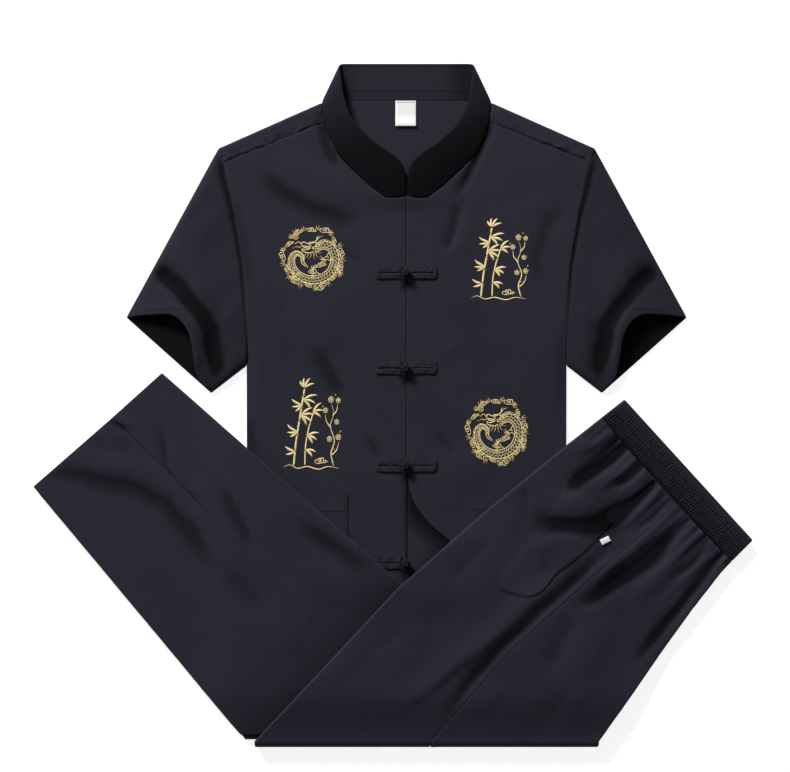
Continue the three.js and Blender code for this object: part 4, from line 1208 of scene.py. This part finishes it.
def clawStrokes(x, y, angle, size):
    outline = [
        [[-0.1, 0.34], [0.2, 0.36], [0.42, 0.18], [0.66, 0.16]],
        [[-0.1, -0.34], [0.16, -0.26], [0.36, -0.1], [0.64, -0.12]],
        [[0.18, 0.1], [0.3, 0.02], [0.2, -0.08]],
    ]
    strokes = [(turned(line, x, y, angle, size), 0.48, "even") for line in outline]
    for spread in (-62, -24, 16, 58):
        toe = turned([[0, 0], [0.18, 0.08], [0.36, 0.06], [0.5, -0.08]], 0.64, 0.02, spread, 1)
        strokes.append((turned(toe, x, y, angle, size), 0.75, "flick"))
    return strokes + flameStrokes(*turned([[0.1, 0.3]], x, y, angle, size)[0], angle + 30, size * 0.5, 0.5)


# A coiled dragon in a ring of clouds, in parts of the roundel's radius
dragonLine = smoothLine([
    [0.04, 0.2], [0.2, 0.33], [0.42, 0.36], [0.6, 0.2], [0.65, -0.1], [0.53, -0.4], [0.26, -0.6],
    [-0.08, -0.64], [-0.38, -0.52], [-0.58, -0.28], [-0.6, 0], [-0.46, 0.13], [-0.31, 0.04],
    [-0.29, -0.14], [-0.14, -0.27],
])
dragonHead = [
    [[0.12, 0.43], [0.02, 0.47], [-0.08, 0.42], [-0.18, 0.43], [-0.27, 0.47], [-0.34, 0.42], [-0.31, 0.36]],
    [[-0.31, 0.36], [-0.22, 0.34], [-0.12, 0.33], [-0.05, 0.29]],
    [
        [-0.05, 0.29], [-0.14, 0.25], [-0.24, 0.24], [-0.31, 0.27],
        [-0.29, 0.2], [-0.19, 0.16], [-0.07, 0.15], [0.04, 0.2],
    ],
    [[-0.09, 0.28], [-0.18, 0.29], [-0.25, 0.31], [-0.29, 0.34]],
    [[-0.15, 0.41], [-0.08, 0.46], [0.0, 0.43], [0.05, 0.48]],
    [[0.08, 0.36], [0.16, 0.4], [0.22, 0.37], [0.14, 0.33], [0.07, 0.34]],
    [[-0.02, 0.33], [0.03, 0.29], [0.01, 0.24]],
]
dragonHorns = [
    [[0.04, 0.45], [0.12, 0.52], [0.2, 0.61], [0.32, 0.66]],
    [[0.13, 0.53], [0.13, 0.6], [0.18, 0.66]],
    [[0.08, 0.42], [0.18, 0.46], [0.28, 0.53], [0.4, 0.54]],
    [[0.2, 0.47], [0.24, 0.42], [0.31, 0.42]],
]
dragonHair = [
    [[-0.33, 0.41], [-0.42, 0.48], [-0.5, 0.42], [-0.6, 0.45], [-0.66, 0.4]],
    [[-0.31, 0.35], [-0.4, 0.31], [-0.47, 0.34], [-0.56, 0.29], [-0.62, 0.31]],
    [[-0.2, 0.16], [-0.22, 0.09], [-0.3, 0.05]],
    [[-0.13, 0.15], [-0.14, 0.07], [-0.21, 0.0]],
    [[-0.05, 0.15], [-0.05, 0.06], [-0.12, -0.03]],
    [[0.05, 0.26], [0.14, 0.28], [0.22, 0.24], [0.3, 0.28]],
    [[0.06, 0.22], [0.14, 0.21], [0.2, 0.15], [0.29, 0.16]],
    [[0.05, 0.18], [0.1, 0.13], [0.12, 0.06], [0.2, 0.03]],
    [[0.0, 0.16], [0.04, 0.09], [0.03, 0.02], [0.09, -0.04]],
]


ringStep = 27.7  # degrees from cloud to cloud and from flame to flame


def dragonStrokes():
    steps = np.linspace(0, 1, 121)
    middle = dragonLine(steps)
    ahead = unit(np.gradient(middle, axis=0))
    aside = np.column_stack([-ahead[:, 1], ahead[:, 0]])
    aside = aside * np.interp(steps, [0, 0.12, 0.5, 0.8, 1], [0.085, 0.115, 0.12, 0.075, 0.014])[:, None]

    # A point of the body: its share of the length, and -1 at the belly to 1 at the back
    def at(place, across):
        place, across = np.broadcast_arrays(np.asarray(place, float), np.asarray(across, float))
        columns = zip(middle.T, aside.T)
        return np.column_stack([
            np.interp(place, steps, along) + np.interp(place, steps, away) * across for along, away in columns
        ])

    whole = np.linspace(0, 1, 60)
    strokes = [(at(whole, 1), 0.55, "even"), (at(whole, -1), 0.55, "even")]
    strokes.append((at(whole[:-6], -0.45), 0.36, "even"))
    for place in np.linspace(0.01, 0.9, 42):
        strokes.append((at([place, place + 0.008], [-1, -0.45]), 0.3, "even"))
    for row, across in enumerate((0.66, 0.05)):
        for place in np.linspace(0.02, 0.9, 34) + 0.013 * row:
            tip = place + 0.017
            scale = at([place, tip, tip, place], across + np.array([0.3, 0.16, -0.16, -0.3]))
            strokes.append((scale, 0.34, "even"))
    for place in np.linspace(0.06, 0.95, 30):
        fin = at([place, place + 0.012, place + 0.034], [1, 1.38, 1.55])
        strokes.append((fin, 0.62, "flick"))
    strokes += [(line, 0.62, "even") for line in dragonHead]
    strokes += [(line, 0.8, "flick") for line in dragonHorns]
    strokes.append((arc(-0.07, 0.375, 0.032, 0, 360), 0.42, "even"))
    strokes.append((arc(-0.3, 0.415, 0.02, 0, 300), 0.36, "even"))
    for x, y in ((-0.27, 0.35), (-0.21, 0.34), (-0.15, 0.335)):
        strokes.append(([[x, y], [x + 0.008, y - 0.045]], 0.5, "flick"))
    strokes += clawStrokes(0.52, 0.06, 205, 0.3) + clawStrokes(0.12, -0.52, 110, 0.3)
    strokes += clawStrokes(-0.5, -0.4, 238, 0.26) + clawStrokes(0.62, -0.36, -28, 0.27)
    strokes += cloudStrokes(0.2, -0.2, 20, 0.14, 0.5) + cloudStrokes(-0.05, -0.4, -8, 0.1, 0.45)
    ringClouds = ((0.88, 0.15, -84), (0.83, 0.12, -112), (0.9, 0.17, -70), (0.85, 0.13, -98))
    for number, angle in enumerate(np.arange(12, 372, ringStep)):
        reach, size, tilt = ringClouds[number % 4]
        x, y = reach * math.cos(math.radians(angle)), reach * math.sin(math.radians(angle))
        strokes += cloudStrokes(x, y, angle + tilt, size, 0.5)
    return strokes


def dragonAccents():
    strokes = [(line, 0.6, "flick") for line in dragonHair]
    strokes += [(arc(-0.5, 0.62, radius, 20, 380), 0.5, "even") for radius in (0.075, 0.035)]
    strokes += flameStrokes(-0.5, 0.7, 10, 0.17, 0.7) + flameStrokes(-0.58, 0.6, 70, 0.13, 0.6)
    for angle in np.arange(26, 386, ringStep):
        x, y = 0.84 * math.cos(math.radians(angle)), 0.84 * math.sin(math.radians(angle))
        strokes += flameStrokes(x, y, angle - 100, 0.14, 0.6)
    return strokes


def leafStroke(x, y, angle, length):
    return turned([[0, 0], [0.3, 0.035], [0.65, 0.03], [1, -0.07]], x, y, angle, length), 1.55, "leaf"


# Two stems of bamboo, a plum twig beside them and a scrolled line of ground under all, in millimetres
bambooStems = [
    ([[-23, -45], [-20, -18], [-15, 10], [-9, 43]], 1.25, [0, 0.2, 0.4, 0.58, 0.75, 0.9, 1]),
    ([[-9, -44], [-8, -22], [-4, -2], [2, 16]], 0.95, [0, 0.26, 0.52, 0.77, 1]),
]
leafSprays = [
    [-14, 12, [8, -24, -52, 36], 17],
    [-18, -6, [152, 186, 214], 15],
    [-11, 30, [20, -12, -44], 18],
    [-12, 24, [158, 192, 222], 15],
    [-9, 43, [62, 98, 132, 26], 13],
    [-6, -10, [14, -20, -50], 15],
    [1, 16, [48, 12, -26], 15],
    [-21, -28, [160, 200], 14],
    [-8, -26, [-8, -40], 13],
]
plumTwig = [
    [[27, -44], [24, -30], [28, -16], [23, 0], [27, 14], [24, 26]],
    [[25, -32], [31, -26], [34, -16]],
    [[24, -2], [18, 6], [17, 14]],
    [[26, 12], [31, 18], [32, 26]],
]
plumBlossoms = [[24, 30, 3.4], [33, -12, 3.2], [17, 18, 2.9], [33, 29, 2.7], [22, -14, 3], [31, 5, 2.8]]


def sprayStrokes():
    strokes = []
    for points, half, cuts in bambooStems:
        line = smoothLine(points)
        for first, last in zip(cuts, cuts[1:]):
            strokes.append((line(np.linspace(first + 0.012, last - 0.012, 5)), half, "even"))
        for cut in cuts[1:-1]:
            x, y = line(cut)
            strokes.append(([[x - 2.2, y - 0.5], [x, y + 0.1], [x + 2.2, y - 0.1]], 0.45, "leaf"))
    for x, y, angles, length in leafSprays:
        for number, angle in enumerate(angles):
            strokes.append(leafStroke(x, y, angle, length * (1 - 0.12 * (number % 3))))
    strokes += [(line, 0.95, "flick") for line in plumTwig]
    for x, y, size in plumBlossoms:
        for petal in range(5):
            angle = math.radians(72 * petal + 18)
            petalX, petalY = x + 0.6 * size * math.cos(angle), y + 0.6 * size * math.sin(angle)
            strokes.append((arc(petalX, petalY, 0.42 * size, 0, 360, count=9), 0.5, "even"))
    ground = [[-36, -46], [-28, -43], [-18, -47], [-6, -45], [8, -48], [20, -45], [34, -47]]
    strokes.append((ground, 0.8, "leaf"))
    return strokes + cloudStrokes(9, -38, 8, 7, 0.6)


def sprayAccents():
    strokes = [(arc(x, y, 0.16 * size, 0, 360, count=7), 0.5, "even") for x, y, size in plumBlossoms]
    buds = ((35, -7), (29, 34), (13, 21), (27, -27))
    return strokes + [([[x, y], [x + 1, y + 2.4]], 0.7, "leaf") for x, y in buds]


# Where each stands, and its scale in x and y
motifs = {
    "right": [("roundel", (-100.4, 183.8), (42.5, 42.5)), ("spray", (-101.3, -26.9), (1.0, 1.12))],
    "left": [("roundel", (130.4, -32.9), (41, 45)), ("spray", (133.1, 179.4), (1.0, 1.0))],
}
motifStrokes = {"roundel": (dragonStrokes, dragonAccents), "spray": (sprayStrokes, sprayAccents)}
threads = {"gold": goldThread, "amber": amberThread}
embroideries = {"right": [], "left": []}
for name, pieces in embroideries.items():
    for kind, centre, scale in motifs[name]:
        for maker, (tone, thread) in zip(motifStrokes[kind], threads.items()):
            pieces.append(embroider(f"{name}_{kind}_{tone}", centre, scale, maker(), thread))
print("embroidery made")

# Trousers: two panels a part, each from its folded edge to the side seam

rollShare = 0.16  # of a panel's width, the part that rounds the folded edge
bodyShare = 0.86  # of an upper panel's length, the part before the fold across
foldTurn = 0.94 * math.pi  # how far the rest goes round the fold
edgeRadius = 3
edgeDrop = 3.4
lowerPanelEnd = foldAxisY + 7


# The line of an edge or a seam without its first millimetres, as far as endY
def trimmed(points, fromStart, endY):
    before, last = points[-2], points[-1]
    finish = lerp(before, last, (endY - before[1]) / (last[1] - before[1]))
    start = brokenLine(points)(fromStart / lengthsAlong(points)[-1])
    return brokenLine(np.vstack([[start], points[1:-1], [finish]]))


def legGrid(edge, seam, heightAt, u, v, foldShare=1):
    bodyV = np.minimum(v / foldShare, 1)
    edgeLine, seamLine = edge(bodyV), seam(bodyV)
    width = np.linalg.norm(edgeLine - seamLine, axis=-1)[:, None]
    angle = np.minimum(u / rollShare, 1)[None] * math.pi / 2
    inset = edgeRadius * (1 - np.cos(angle))
    drop = edgeDrop * (1 - np.sin(angle))
    flatShare = np.maximum((u - rollShare) / (1 - rollShare), 0)[None]
    share = lerp(inset / width, 1 - seamGap / 2 / width, flatShare)[..., None]
    flat = edgeLine[:, None] * (1 - share) + seamLine[:, None] * share
    z = heightAt(flat[..., 0], flat[..., 1]) - drop
    past = np.maximum((v - foldShare) / (1 - foldShare + 1e-9), 0)[:, None]
    bend = math.pi / 2 - past * foldTurn
    radius = foldRadius - drop
    roundY = foldAxisY - radius * np.cos(bend)
    roundZ = foldRadius + radius * np.sin(bend)
    after = (v > foldShare)[:, None]
    return np.dstack([flat[..., 0], np.where(after, roundY, flat[..., 1]), np.where(after, roundZ, z)])


def legColumns(count):
    roll = np.linspace(0, rollShare, 9)[:-1]
    return np.concatenate([roll, np.linspace(rollShare, 0.97, count), [0.98, 0.987, 0.993, 0.997, 1]])


# Painted shade in the hollows of the folds and gathers; on the lower part also a painted shadow beside the
# upper part's edge
def lowerShade(x, y):
    shade = hollowShade(foldHeight(lowerLegFolds, x, y))
    return shade * lerp(0.62, 1, smoothstep(clearOfUpperPart(x, y), 0, 38))


def upperShade(x, y):
    return hollowShade(upperPartRelief(x, y), deep=3.2, least=0.1)


upperRows = [bodyShare * np.linspace(0, 1, 190) ** 1.1, np.linspace(bodyShare, 1, 22)[1:]]
lowerPart = {
    "start": 0, "end": lowerPanelEnd, "seam": lowerSideSeam, "top": lowerPartTop, "foldShare": 1,
    "u": legColumns(48), "v": seamShares(480, 3), "rounding": 0.5, "shade": lowerShade,
}
upperPart = {
    "start": bandDepth + seamGap, "end": foldAxisY, "seam": upperSideSeam, "top": upperPartTop,
    "foldShare": bodyShare, "u": legColumns(74), "v": np.concatenate(upperRows), "rounding": 0.4,
    "shade": upperShade,
}
legPieces = {}
for name, part, edge in (
    ("lower_back", lowerPart, lowerLeftEdge),
    ("lower_front", lowerPart, upperRightEdge),
    ("upper_back", upperPart, upperLeftEdge),
    ("upper_front", upperPart, lowerRightEdge),
):
    outerLine, seamLine = (trimmed(line, part["start"], part["end"]) for line in (edge, part["seam"]))
    grid = legGrid(outerLine, seamLine, part["top"], part["u"], part["v"], part["foldShare"])
    piece = clothPiece(
        f"{name}_cloth", grid, clothWall, upAt=(0.4, 0.5), rounding=part["rounding"], pucker=0.35,
        shade=part["shade"](grid[..., 0], grid[..., 1]),
    )
    legPieces[name] = dress(piece, trouserCloth, "trouser_cloth", f"trousers_{name}_panel")
print("leg panels made")

# Waistband: a smooth edge, then shirring in rows between its lines of stitches

band = {"endRoll": 0.025, "ribs": 78, "rows": 4, "smoothEdge": 0.2, "shirringEnd": 0.97, "loft": 2.2}


def waistbandGrid():
    left, right = trimmed(upperLeftEdge, 0, foldAxisY), trimmed(lowerRightEdge, 0, foldAxisY)
    roll, rows, smoothEdge = band["endRoll"], band["rows"], band["smoothEdge"]
    rollEnds = np.linspace(0, roll, 7)
    u = np.concatenate([rollEnds[:-1], np.linspace(roll, 1 - roll, 500), 1 - rollEnds[-2::-1]])
    v = np.concatenate([[0, 0.012, 0.03, 0.06], np.linspace(0.1, 0.98, 52), [1]])
    nearEnd = np.minimum(u, 1 - u)
    angle = np.clip(nearEnd / roll, 0, 1) * math.pi / 2
    inset = edgeRadius * (1 - np.cos(angle)) / waistWidth
    half = lerp(inset, 0.5, np.clip((nearEnd - roll) / (0.5 - roll), 0, 1))
    share = np.where(u < 0.5, half, 1 - half)[None, :, None]
    leftLine = left(v * bandDepth / lengthsAlong(upperLeftEdge)[-1])[:, None]
    rightLine = right(v * bandDepth / lengthsAlong(lowerRightEdge)[-1])[:, None]
    flat = lerp(leftLine, rightLine, share)
    drop = (edgeDrop + 0.6) * (1 - np.sin(angle))[None]
    x, y = flat[..., 0], flat[..., 1]
    inRows = rows * np.clip((v - smoothEdge) / (band["shirringEnd"] - smoothEdge), 0, 1)[:, None]
    row = np.minimum(np.floor(inRows), rows - 1)
    puff = np.sin(math.pi * (inRows - row)) ** 0.45
    along = u[None] * 400
    wander = 0.009 * softNoise(along, inRows * 16, 22, 2) + 0.003 * softNoise(along, inRows * 9, 6, 7)
    ribs = 0.5 + 0.5 * np.cos(2 * math.pi * band["ribs"] * (u[None] + wander))
    tall = 1.2 + 0.5 * softNoise(along, inRows * 12, 8, 4)
    shirred = smoothstep(v, smoothEdge * 0.9, smoothEdge * 1.15)[:, None]
    relief = shirred * puff * (0.35 + tall * ribs) + (1 - shirred) * (0.7 + 0.25 * softNoise(x, y, 12, 3))
    z = underUpperPart(x, y) + legStack + band["loft"] - drop + relief * smoothstep(nearEnd, 0, roll)[None]
    return np.dstack([x, y, z])


bandGrid = waistbandGrid()
# Painted shade over the whole band, deeper across the shirring
bandShade = lerp(0.8, 0.5, smoothstep(np.linspace(0, 1, len(bandGrid)), 0.25, 0.8))[:, None]
bandPiece = clothPiece(
    "waistband_cloth", bandGrid, clothWall, upAt=(0.2, 0.5), rounding=0.5, pucker=0, shade=bandShade
)
dress(bandPiece, trouserCloth, "trouser_cloth", "trousers_waistband")
print("waistband made")

# The layers folded under the panels: rounded edges one on the other

slab = {
    "layers": 3, "columns": 24, "rows": 60, "top": legStack - panelWall - layerGap,
    "inset": 0.5, "groove": 1.6, "stepIn": 0.9,
}


# A closed line moved inwards, sharp corners not all the way
def insetLoop(loop, distance):
    before, after = np.roll(loop, 1, axis=0), np.roll(loop, -1, axis=0)

    def inward(start, end):
        ahead = end - start
        return unit(np.stack([-ahead[:, 1], ahead[:, 0]], axis=-1))

    first, second = inward(before, loop), inward(loop, after)
    middle = unit(first + second)
    slant = np.maximum((middle * first).sum(axis=-1, keepdims=True), 0.35)
    return loop + middle * distance / slant


# The edge's inset and height, from its top down: one round for each layer
def layerProfile():
    profile = []
    for layer in range(slab["layers"]):
        angles = np.linspace(-math.pi / 2, math.pi / 2, 9)
        for angle in angles if layer == 0 else angles[1:]:
            height = (layer + 0.5 + 0.5 * math.sin(angle)) * slab["top"] / slab["layers"]
            inset = slab["inset"] + slab["groove"] * (1 - math.cos(angle)) + slab["stepIn"] * layer
            profile.append([inset, height])
    return profile[::-1]


def listed(points):
    return lambda share: points[np.rint(np.asarray(share) * (len(points) - 1)).astype(int)]


# A slab between four sides, seen from above, from the height under to the height topBase and its own
def layersPart(start, finish, left, right, under, topBase):
    top, columns, rows = slab["top"], slab["columns"], slab["rows"]
    loop = np.vstack([
        left(np.linspace(0, 1, rows + 1)[:-1]),
        finish(np.linspace(0, 1, columns + 1)[:-1]),
        right(np.linspace(1, 0, rows + 1)[:-1]),
        start(np.linspace(1, 0, columns + 1)[:-1]),
    ])
    direction = -1 if asideOf(loop[0], loop[1], *loop[rows + columns]) < 0 else 1

    def raised(flat, height):
        low, high = under(flat[:, 0], flat[:, 1]), topBase(flat[:, 0], flat[:, 1]) + top
        return np.column_stack([flat, lerp(low, high, height / top)])

    profile = layerProfile()
    rings = [raised(insetLoop(loop, direction * inset), height) for inset, height in profile]
    second, third, fourth = rows, rows + columns, 2 * rows + columns  # the loop's corners

    def cap(ring):
        left, finish = ring[: second + 1], ring[second : third + 1]
        right, start = ring[third : fourth + 1][::-1], np.vstack([ring[fourth:], ring[:1]])[::-1]
        u, v = np.linspace(0, 1, columns + 1), np.linspace(0, 1, rows + 1)
        return fourSided(listed(start), listed(finish), listed(left), listed(right))(u, v)

    index = np.arange(len(loop) * len(rings)).reshape(len(rings), len(loop))
    index = np.hstack([index, index[:, :1]])
    points, faces = [np.vstack(rings)], [gridFaces(index)]
    for level, flip in ((0, False), (-1, True)):
        inside = cap(rings[level][:, :2])[1:-1, 1:-1].reshape(-1, 2)
        base = sum(len(part) for part in points)
        points.append(raised(inside, profile[level][1]))
        grid = np.zeros((rows + 1, columns + 1), int)
        rim = index[level, :-1]
        grid[1:-1, 1:-1] = base + np.arange(len(inside)).reshape(rows - 1, columns - 1)
        grid[:, 0] = rim[: second + 1]
        grid[-1, :] = rim[second : third + 1]
        grid[:, -1] = rim[third : fourth + 1][::-1]
        grid[0, 1:-1] = rim[fourth + 1 :][::-1]
        capFaces = gridFaces(grid)
        faces.append(capFaces[:, ::-1] if flip else capFaces)
    points = np.vstack(points)
    return points, np.concatenate(faces), points[:, :2]


def underUpperSlab(x, y):
    return underUpperPart(x, y, rampEnd=80)


lowerStack = layersPart(
    brokenLine([lowerLeftEdge[0], upperRightEdge[0]]),
    brokenLine([lowerLeftEdge[1], upperRightEdge[2]]),
    brokenLine(lowerLeftEdge),
    brokenLine(upperRightEdge),
    underLowerPart,
    underLowerPart,
)
upperStack = layersPart(
    brokenLine([upperLeftEdge[0], lowerRightEdge[0]]),
    brokenLine([upperLeftEdge[4], lowerRightEdge[3]]),
    brokenLine(upperLeftEdge),
    brokenLine(lowerRightEdge),
    underUpperSlab,
    underUpperPart,
)


# What fills the fold across
def nosePart():
    radius, behind = foldRadius - panelWall - layerGap, -5.5
    x = np.linspace(upperLeftEdge[4, 0] + 11, upperRightEdge[2, 0] - 4, 40)
    line = np.column_stack([x, np.full(40, foldAxisY), np.full(40, foldRadius)])
    front = onCircle(np.linspace(-math.pi / 2, math.pi / 2, 17))
    section = np.vstack([front, [[behind / radius, 1], [behind / radius, -1]]])
    return sweep(line, section, radius, radius)


layersPiece = addParts("folded_layers", [lowerStack, upperStack, nosePart()])
dress(layersPiece, trouserCloth, "trouser_cloth", "trousers_hidden_layers")
print("folded layers made")

# The trouser pocket, its mouth gaping, and the tag in its side


legPocket = {"width": 80, "length": 160, "step": 2.5, "gape": 4, "flush": 1.6}


# Its left edge is pressed flush, since none shows there
def makeTrouserPocket():
    plan = fourSided(
        smoothLine([[221.3, -86.3], [236, -104], [249, -117], [275, -147.5]]),
        smoothLine([[120, -211.3], [130, -225], [143.1, -233.4], [168.8, -238.3], [187.5, -230]]),
        smoothLine([[221.3, -86.3], [190, -125], [155, -168], [120, -211.3]]),
        smoothLine([[275, -147.5], [232.5, -188.8], [207, -207.9], [187.5, -230]]),
    )
    u, v = gridShares(legPocket)
    flat = plan(u, v)
    heights = upperPartTop(flat[..., 0], flat[..., 1])
    gape = legPocket["gape"] * np.sin(np.pi * u)[None] * rampDown(v, 0, 0.35)[:, None]
    flush = -legPocket["flush"] * rampDown(u, 0.02, 0.3)[None] * smoothstep(v, 0, 0.12)[:, None]
    # Painted shade in the hollows of the leg's folds across the pocket
    shade = hollowShade(foldHeight(upperLegFolds, flat[..., 0], flat[..., 1]), deep=2.8, least=0.1)
    return patchPiece("trouser_pocket_cloth", flat, heights, patchWall, lift=gape, relief=flush, shade=shade)


trouserPocket = dress(makeTrouserPocket(), trouserCloth, "trouser_cloth", "trousers_pocket")

tag = {"width": 12, "length": 9, "step": 2, "reach": (6, 3.5), "lift": 0.8, "wall": 0.9, "sewnIn": 4}


def makeTrouserTag():
    low, high = boxOf("trousers_tag")
    middle = (low + high)[:2] / 2
    longWay = tag["reach"][0] * np.array([0.9, 0.43])
    shortWay = tag["reach"][1] * np.array([-0.43, 0.9])
    corners = [[middle + a * longWay + b * shortWay for a in (-1, 1)] for b in (-1, 1)]
    flat = straightSided(*corners)(*gridShares(tag))
    heights = upperPartTop(flat[..., 0], flat[..., 1]) + tag["lift"]
    return patchPiece("trouser_tag_cloth", flat, heights, tag["wall"], rounding=0.3)


tagPiece = dress(makeTrouserTag(), labelCloth, "label_cloth", "trousers_tag")
print("trouser pocket and tag made")

# Stitches: small spindles of thread along the seams and hems

stitch = {"pitch": 3.2, "length": 2.4, "radius": 0.34, "lift": 0.1}


def stitchParts(points, topAt, lift=stitch["lift"], smooth=True):
    curve = smoothLine(points) if smooth else brokenLine(points)
    length = lengthsAlong(curve(np.linspace(0, 1, 80)))[-1]
    starts = np.arange(0.6, length - stitch["length"], stitch["pitch"]) / length
    share = np.array([0, 0.12, 0.5, 0.88, 1])
    flat = curve((starts[:, None] + share * stitch["length"] / length).ravel())
    heights = topAt(flat[:, 0], flat[:, 1]).reshape(-1, 5) + lift
    sink = np.array([-0.35, 0, 0.1, 0, -0.35])
    size = stitch["radius"] * np.array([0.4, 0.9, 1, 0.9, 0.4])
    parts = []
    for line, height in zip(flat.reshape(-1, 5, 2), heights):
        if np.isfinite(height).all():
            parts.append(sweep(np.column_stack([line, height + sink]), ellipse(6), size, size))
    return parts


# Points beside the jacket's axis, on one side of it
def onSide(points, side):
    return [[jacketAxis + side * x, y] for x, y in points]


def jacketStitches():
    parts = []
    for name, side in wearerSides.items():
        low, high = boxOf(f"jacket_{name}_pocket")
        left, right, top, bottom = low[0] + 1.6, high[0] - 1.6, high[1], low[1] + 1.6
        corner = pocket["corner"] - 1
        edge = [[left, top], [left, bottom + corner], [left + corner, bottom], [right - corner, bottom]]
        edge += [[right, bottom + corner], [right, top]]
        pocketTopAt = topOf(pockets[name])
        parts += stitchParts(edge, pocketTopAt, smooth=False)
        parts += stitchParts([[left, top - pocket["hem"]], [right, top - pocket["hem"]]], pocketTopAt)
        seam = lerp(collarRows[shoulderStation, :2], seamTip, np.linspace(0.02, 0.96, 5)[:, None])
        parts += stitchParts(onSide(seam + [0.9, 2.6], side), topOf(backPiece))
        cuff = cuffUpper(np.linspace(0.05, 0.95, 24)) - sleeve["hem"] * sleeveOutward
        parts += stitchParts(onSide(cuff, side), topOf(sleeves[name]))
    for reach, y in collar["stitches"]:
        parts += stitchParts([[jacketAxis - reach, y], [jacketAxis + reach, y]], topOf(collarPiece))
    low, high = boxOf("neck_label")
    parts += stitchParts([[low[0] + 1.5, high[1] - 1.6], [high[0] - 1.5, high[1] - 1.6]], topOf(labelPiece))
    return parts


def trouserStitches():
    edge = [
        [126, -207], [131, -221.5], [143.8, -231.3], [168.4, -236],
        [186.5, -228.4], [206, -205.6], [231, -187],
    ]
    parts = stitchParts(edge, topOf(trouserPocket))
    bandTopAt, inward = topOf(bandPiece), np.array([alongWaist[1], -alongWaist[0]])
    rows, fromEnd = band["rows"], 4 * alongWaist
    for row in range(rows + 1):
        down = inward * bandDepth * lerp(band["smoothEdge"], band["shirringEnd"], row / rows)
        parts += stitchParts([waistStart + down + fromEnd, waistEnd + down - fromEnd], bandTopAt, lift=0.15)
    return parts


jacketStitching = addParts("jacket_stitching", jacketStitches())
trouserStitching = addParts("trouser_stitching", trouserStitches())
for piece in (jacketStitching, trouserStitching):
    piece.data.materials.append(navyThread)
print("stitches made")

# Each cloth piece's flat size is worked out, then taken off it

declareSheet(backPiece)
declareSheet(collarPiece)
for name, piece in fronts.items():
    declareSheet(piece)
for name, piece in sleeves.items():
    declareSheet(piece)
for name, piece in pockets.items():
    declareSheet(piece)
declareSheet(labelPiece)
for name, piece in legPieces.items():
    declareSheet(piece)
declareSheet(bandPiece)
declareSheet(trouserPocket)
declareSheet(tagPiece, sewnIn=tag["sewnIn"])

# Floor, light and camera

floorHalf = 6
floorMesh = bpy.data.meshes.new("floor")
floorCorners = [(floorHalf * a, floorHalf * b, 0) for a, b in ((-1, -1), (1, -1), (1, 1), (-1, 1))]
floorMesh.from_pydata(floorCorners, [], [(0, 1, 2, 3)])
floor = addObject("floor", floorMesh)
floor.location.z = -0.0005
floorFinish = Finish("floorFinish")  # glows, since the photograph's floor is burnt out
floorFinish.set(Base_Color=(0.4, 0.4, 0.4, 1), Roughness=0.9)
floorFinish.set(Emission_Color=(1, 1, 1, 1), Emission_Strength=0.84)
floorMesh.materials.append(floorFinish.material)
floor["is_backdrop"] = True


# A strong light from the upper left, aimed at the origin
keyLight = {"place": Vector((-2.6, 4.6, 2.3)), "size": 1.4, "watts": 560}
light = bpy.data.lights.new("keyLight", "AREA")
light.size = keyLight["size"]
light.energy = keyLight["watts"]
lamp = addObject("keyLight", light)
lamp.location = keyLight["place"]
lamp.rotation_mode = "QUATERNION"
lamp.rotation_quaternion = (-keyLight["place"]).to_track_quat("-Z", "Y")
world = bpy.data.worlds.new("studio")
bpy.context.scene.world = world
world.use_nodes = True
background = world.node_tree.nodes["Background"].inputs
background["Color"].default_value = (0.98, 0.99, 1, 1)
background["Strength"].default_value = 0.2
bpy.context.scene.view_settings.view_transform = "Standard"

viewMiddle = (2.5 * mm, 23.75 * mm)
viewWidth = 0.9875  # 790 pixels of 1.25 mm, on the suit's middle height
middleHeight = 0.008
cameraData = bpy.data.cameras.new("photoCamera")
cameraData.lens = 85
cameraData.sensor_width = 36
camera = addObject("photoCamera", cameraData)
camera.location = (*viewMiddle, viewWidth * cameraData.lens / cameraData.sensor_width + middleHeight)
bpy.context.scene.camera = camera

low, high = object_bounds()
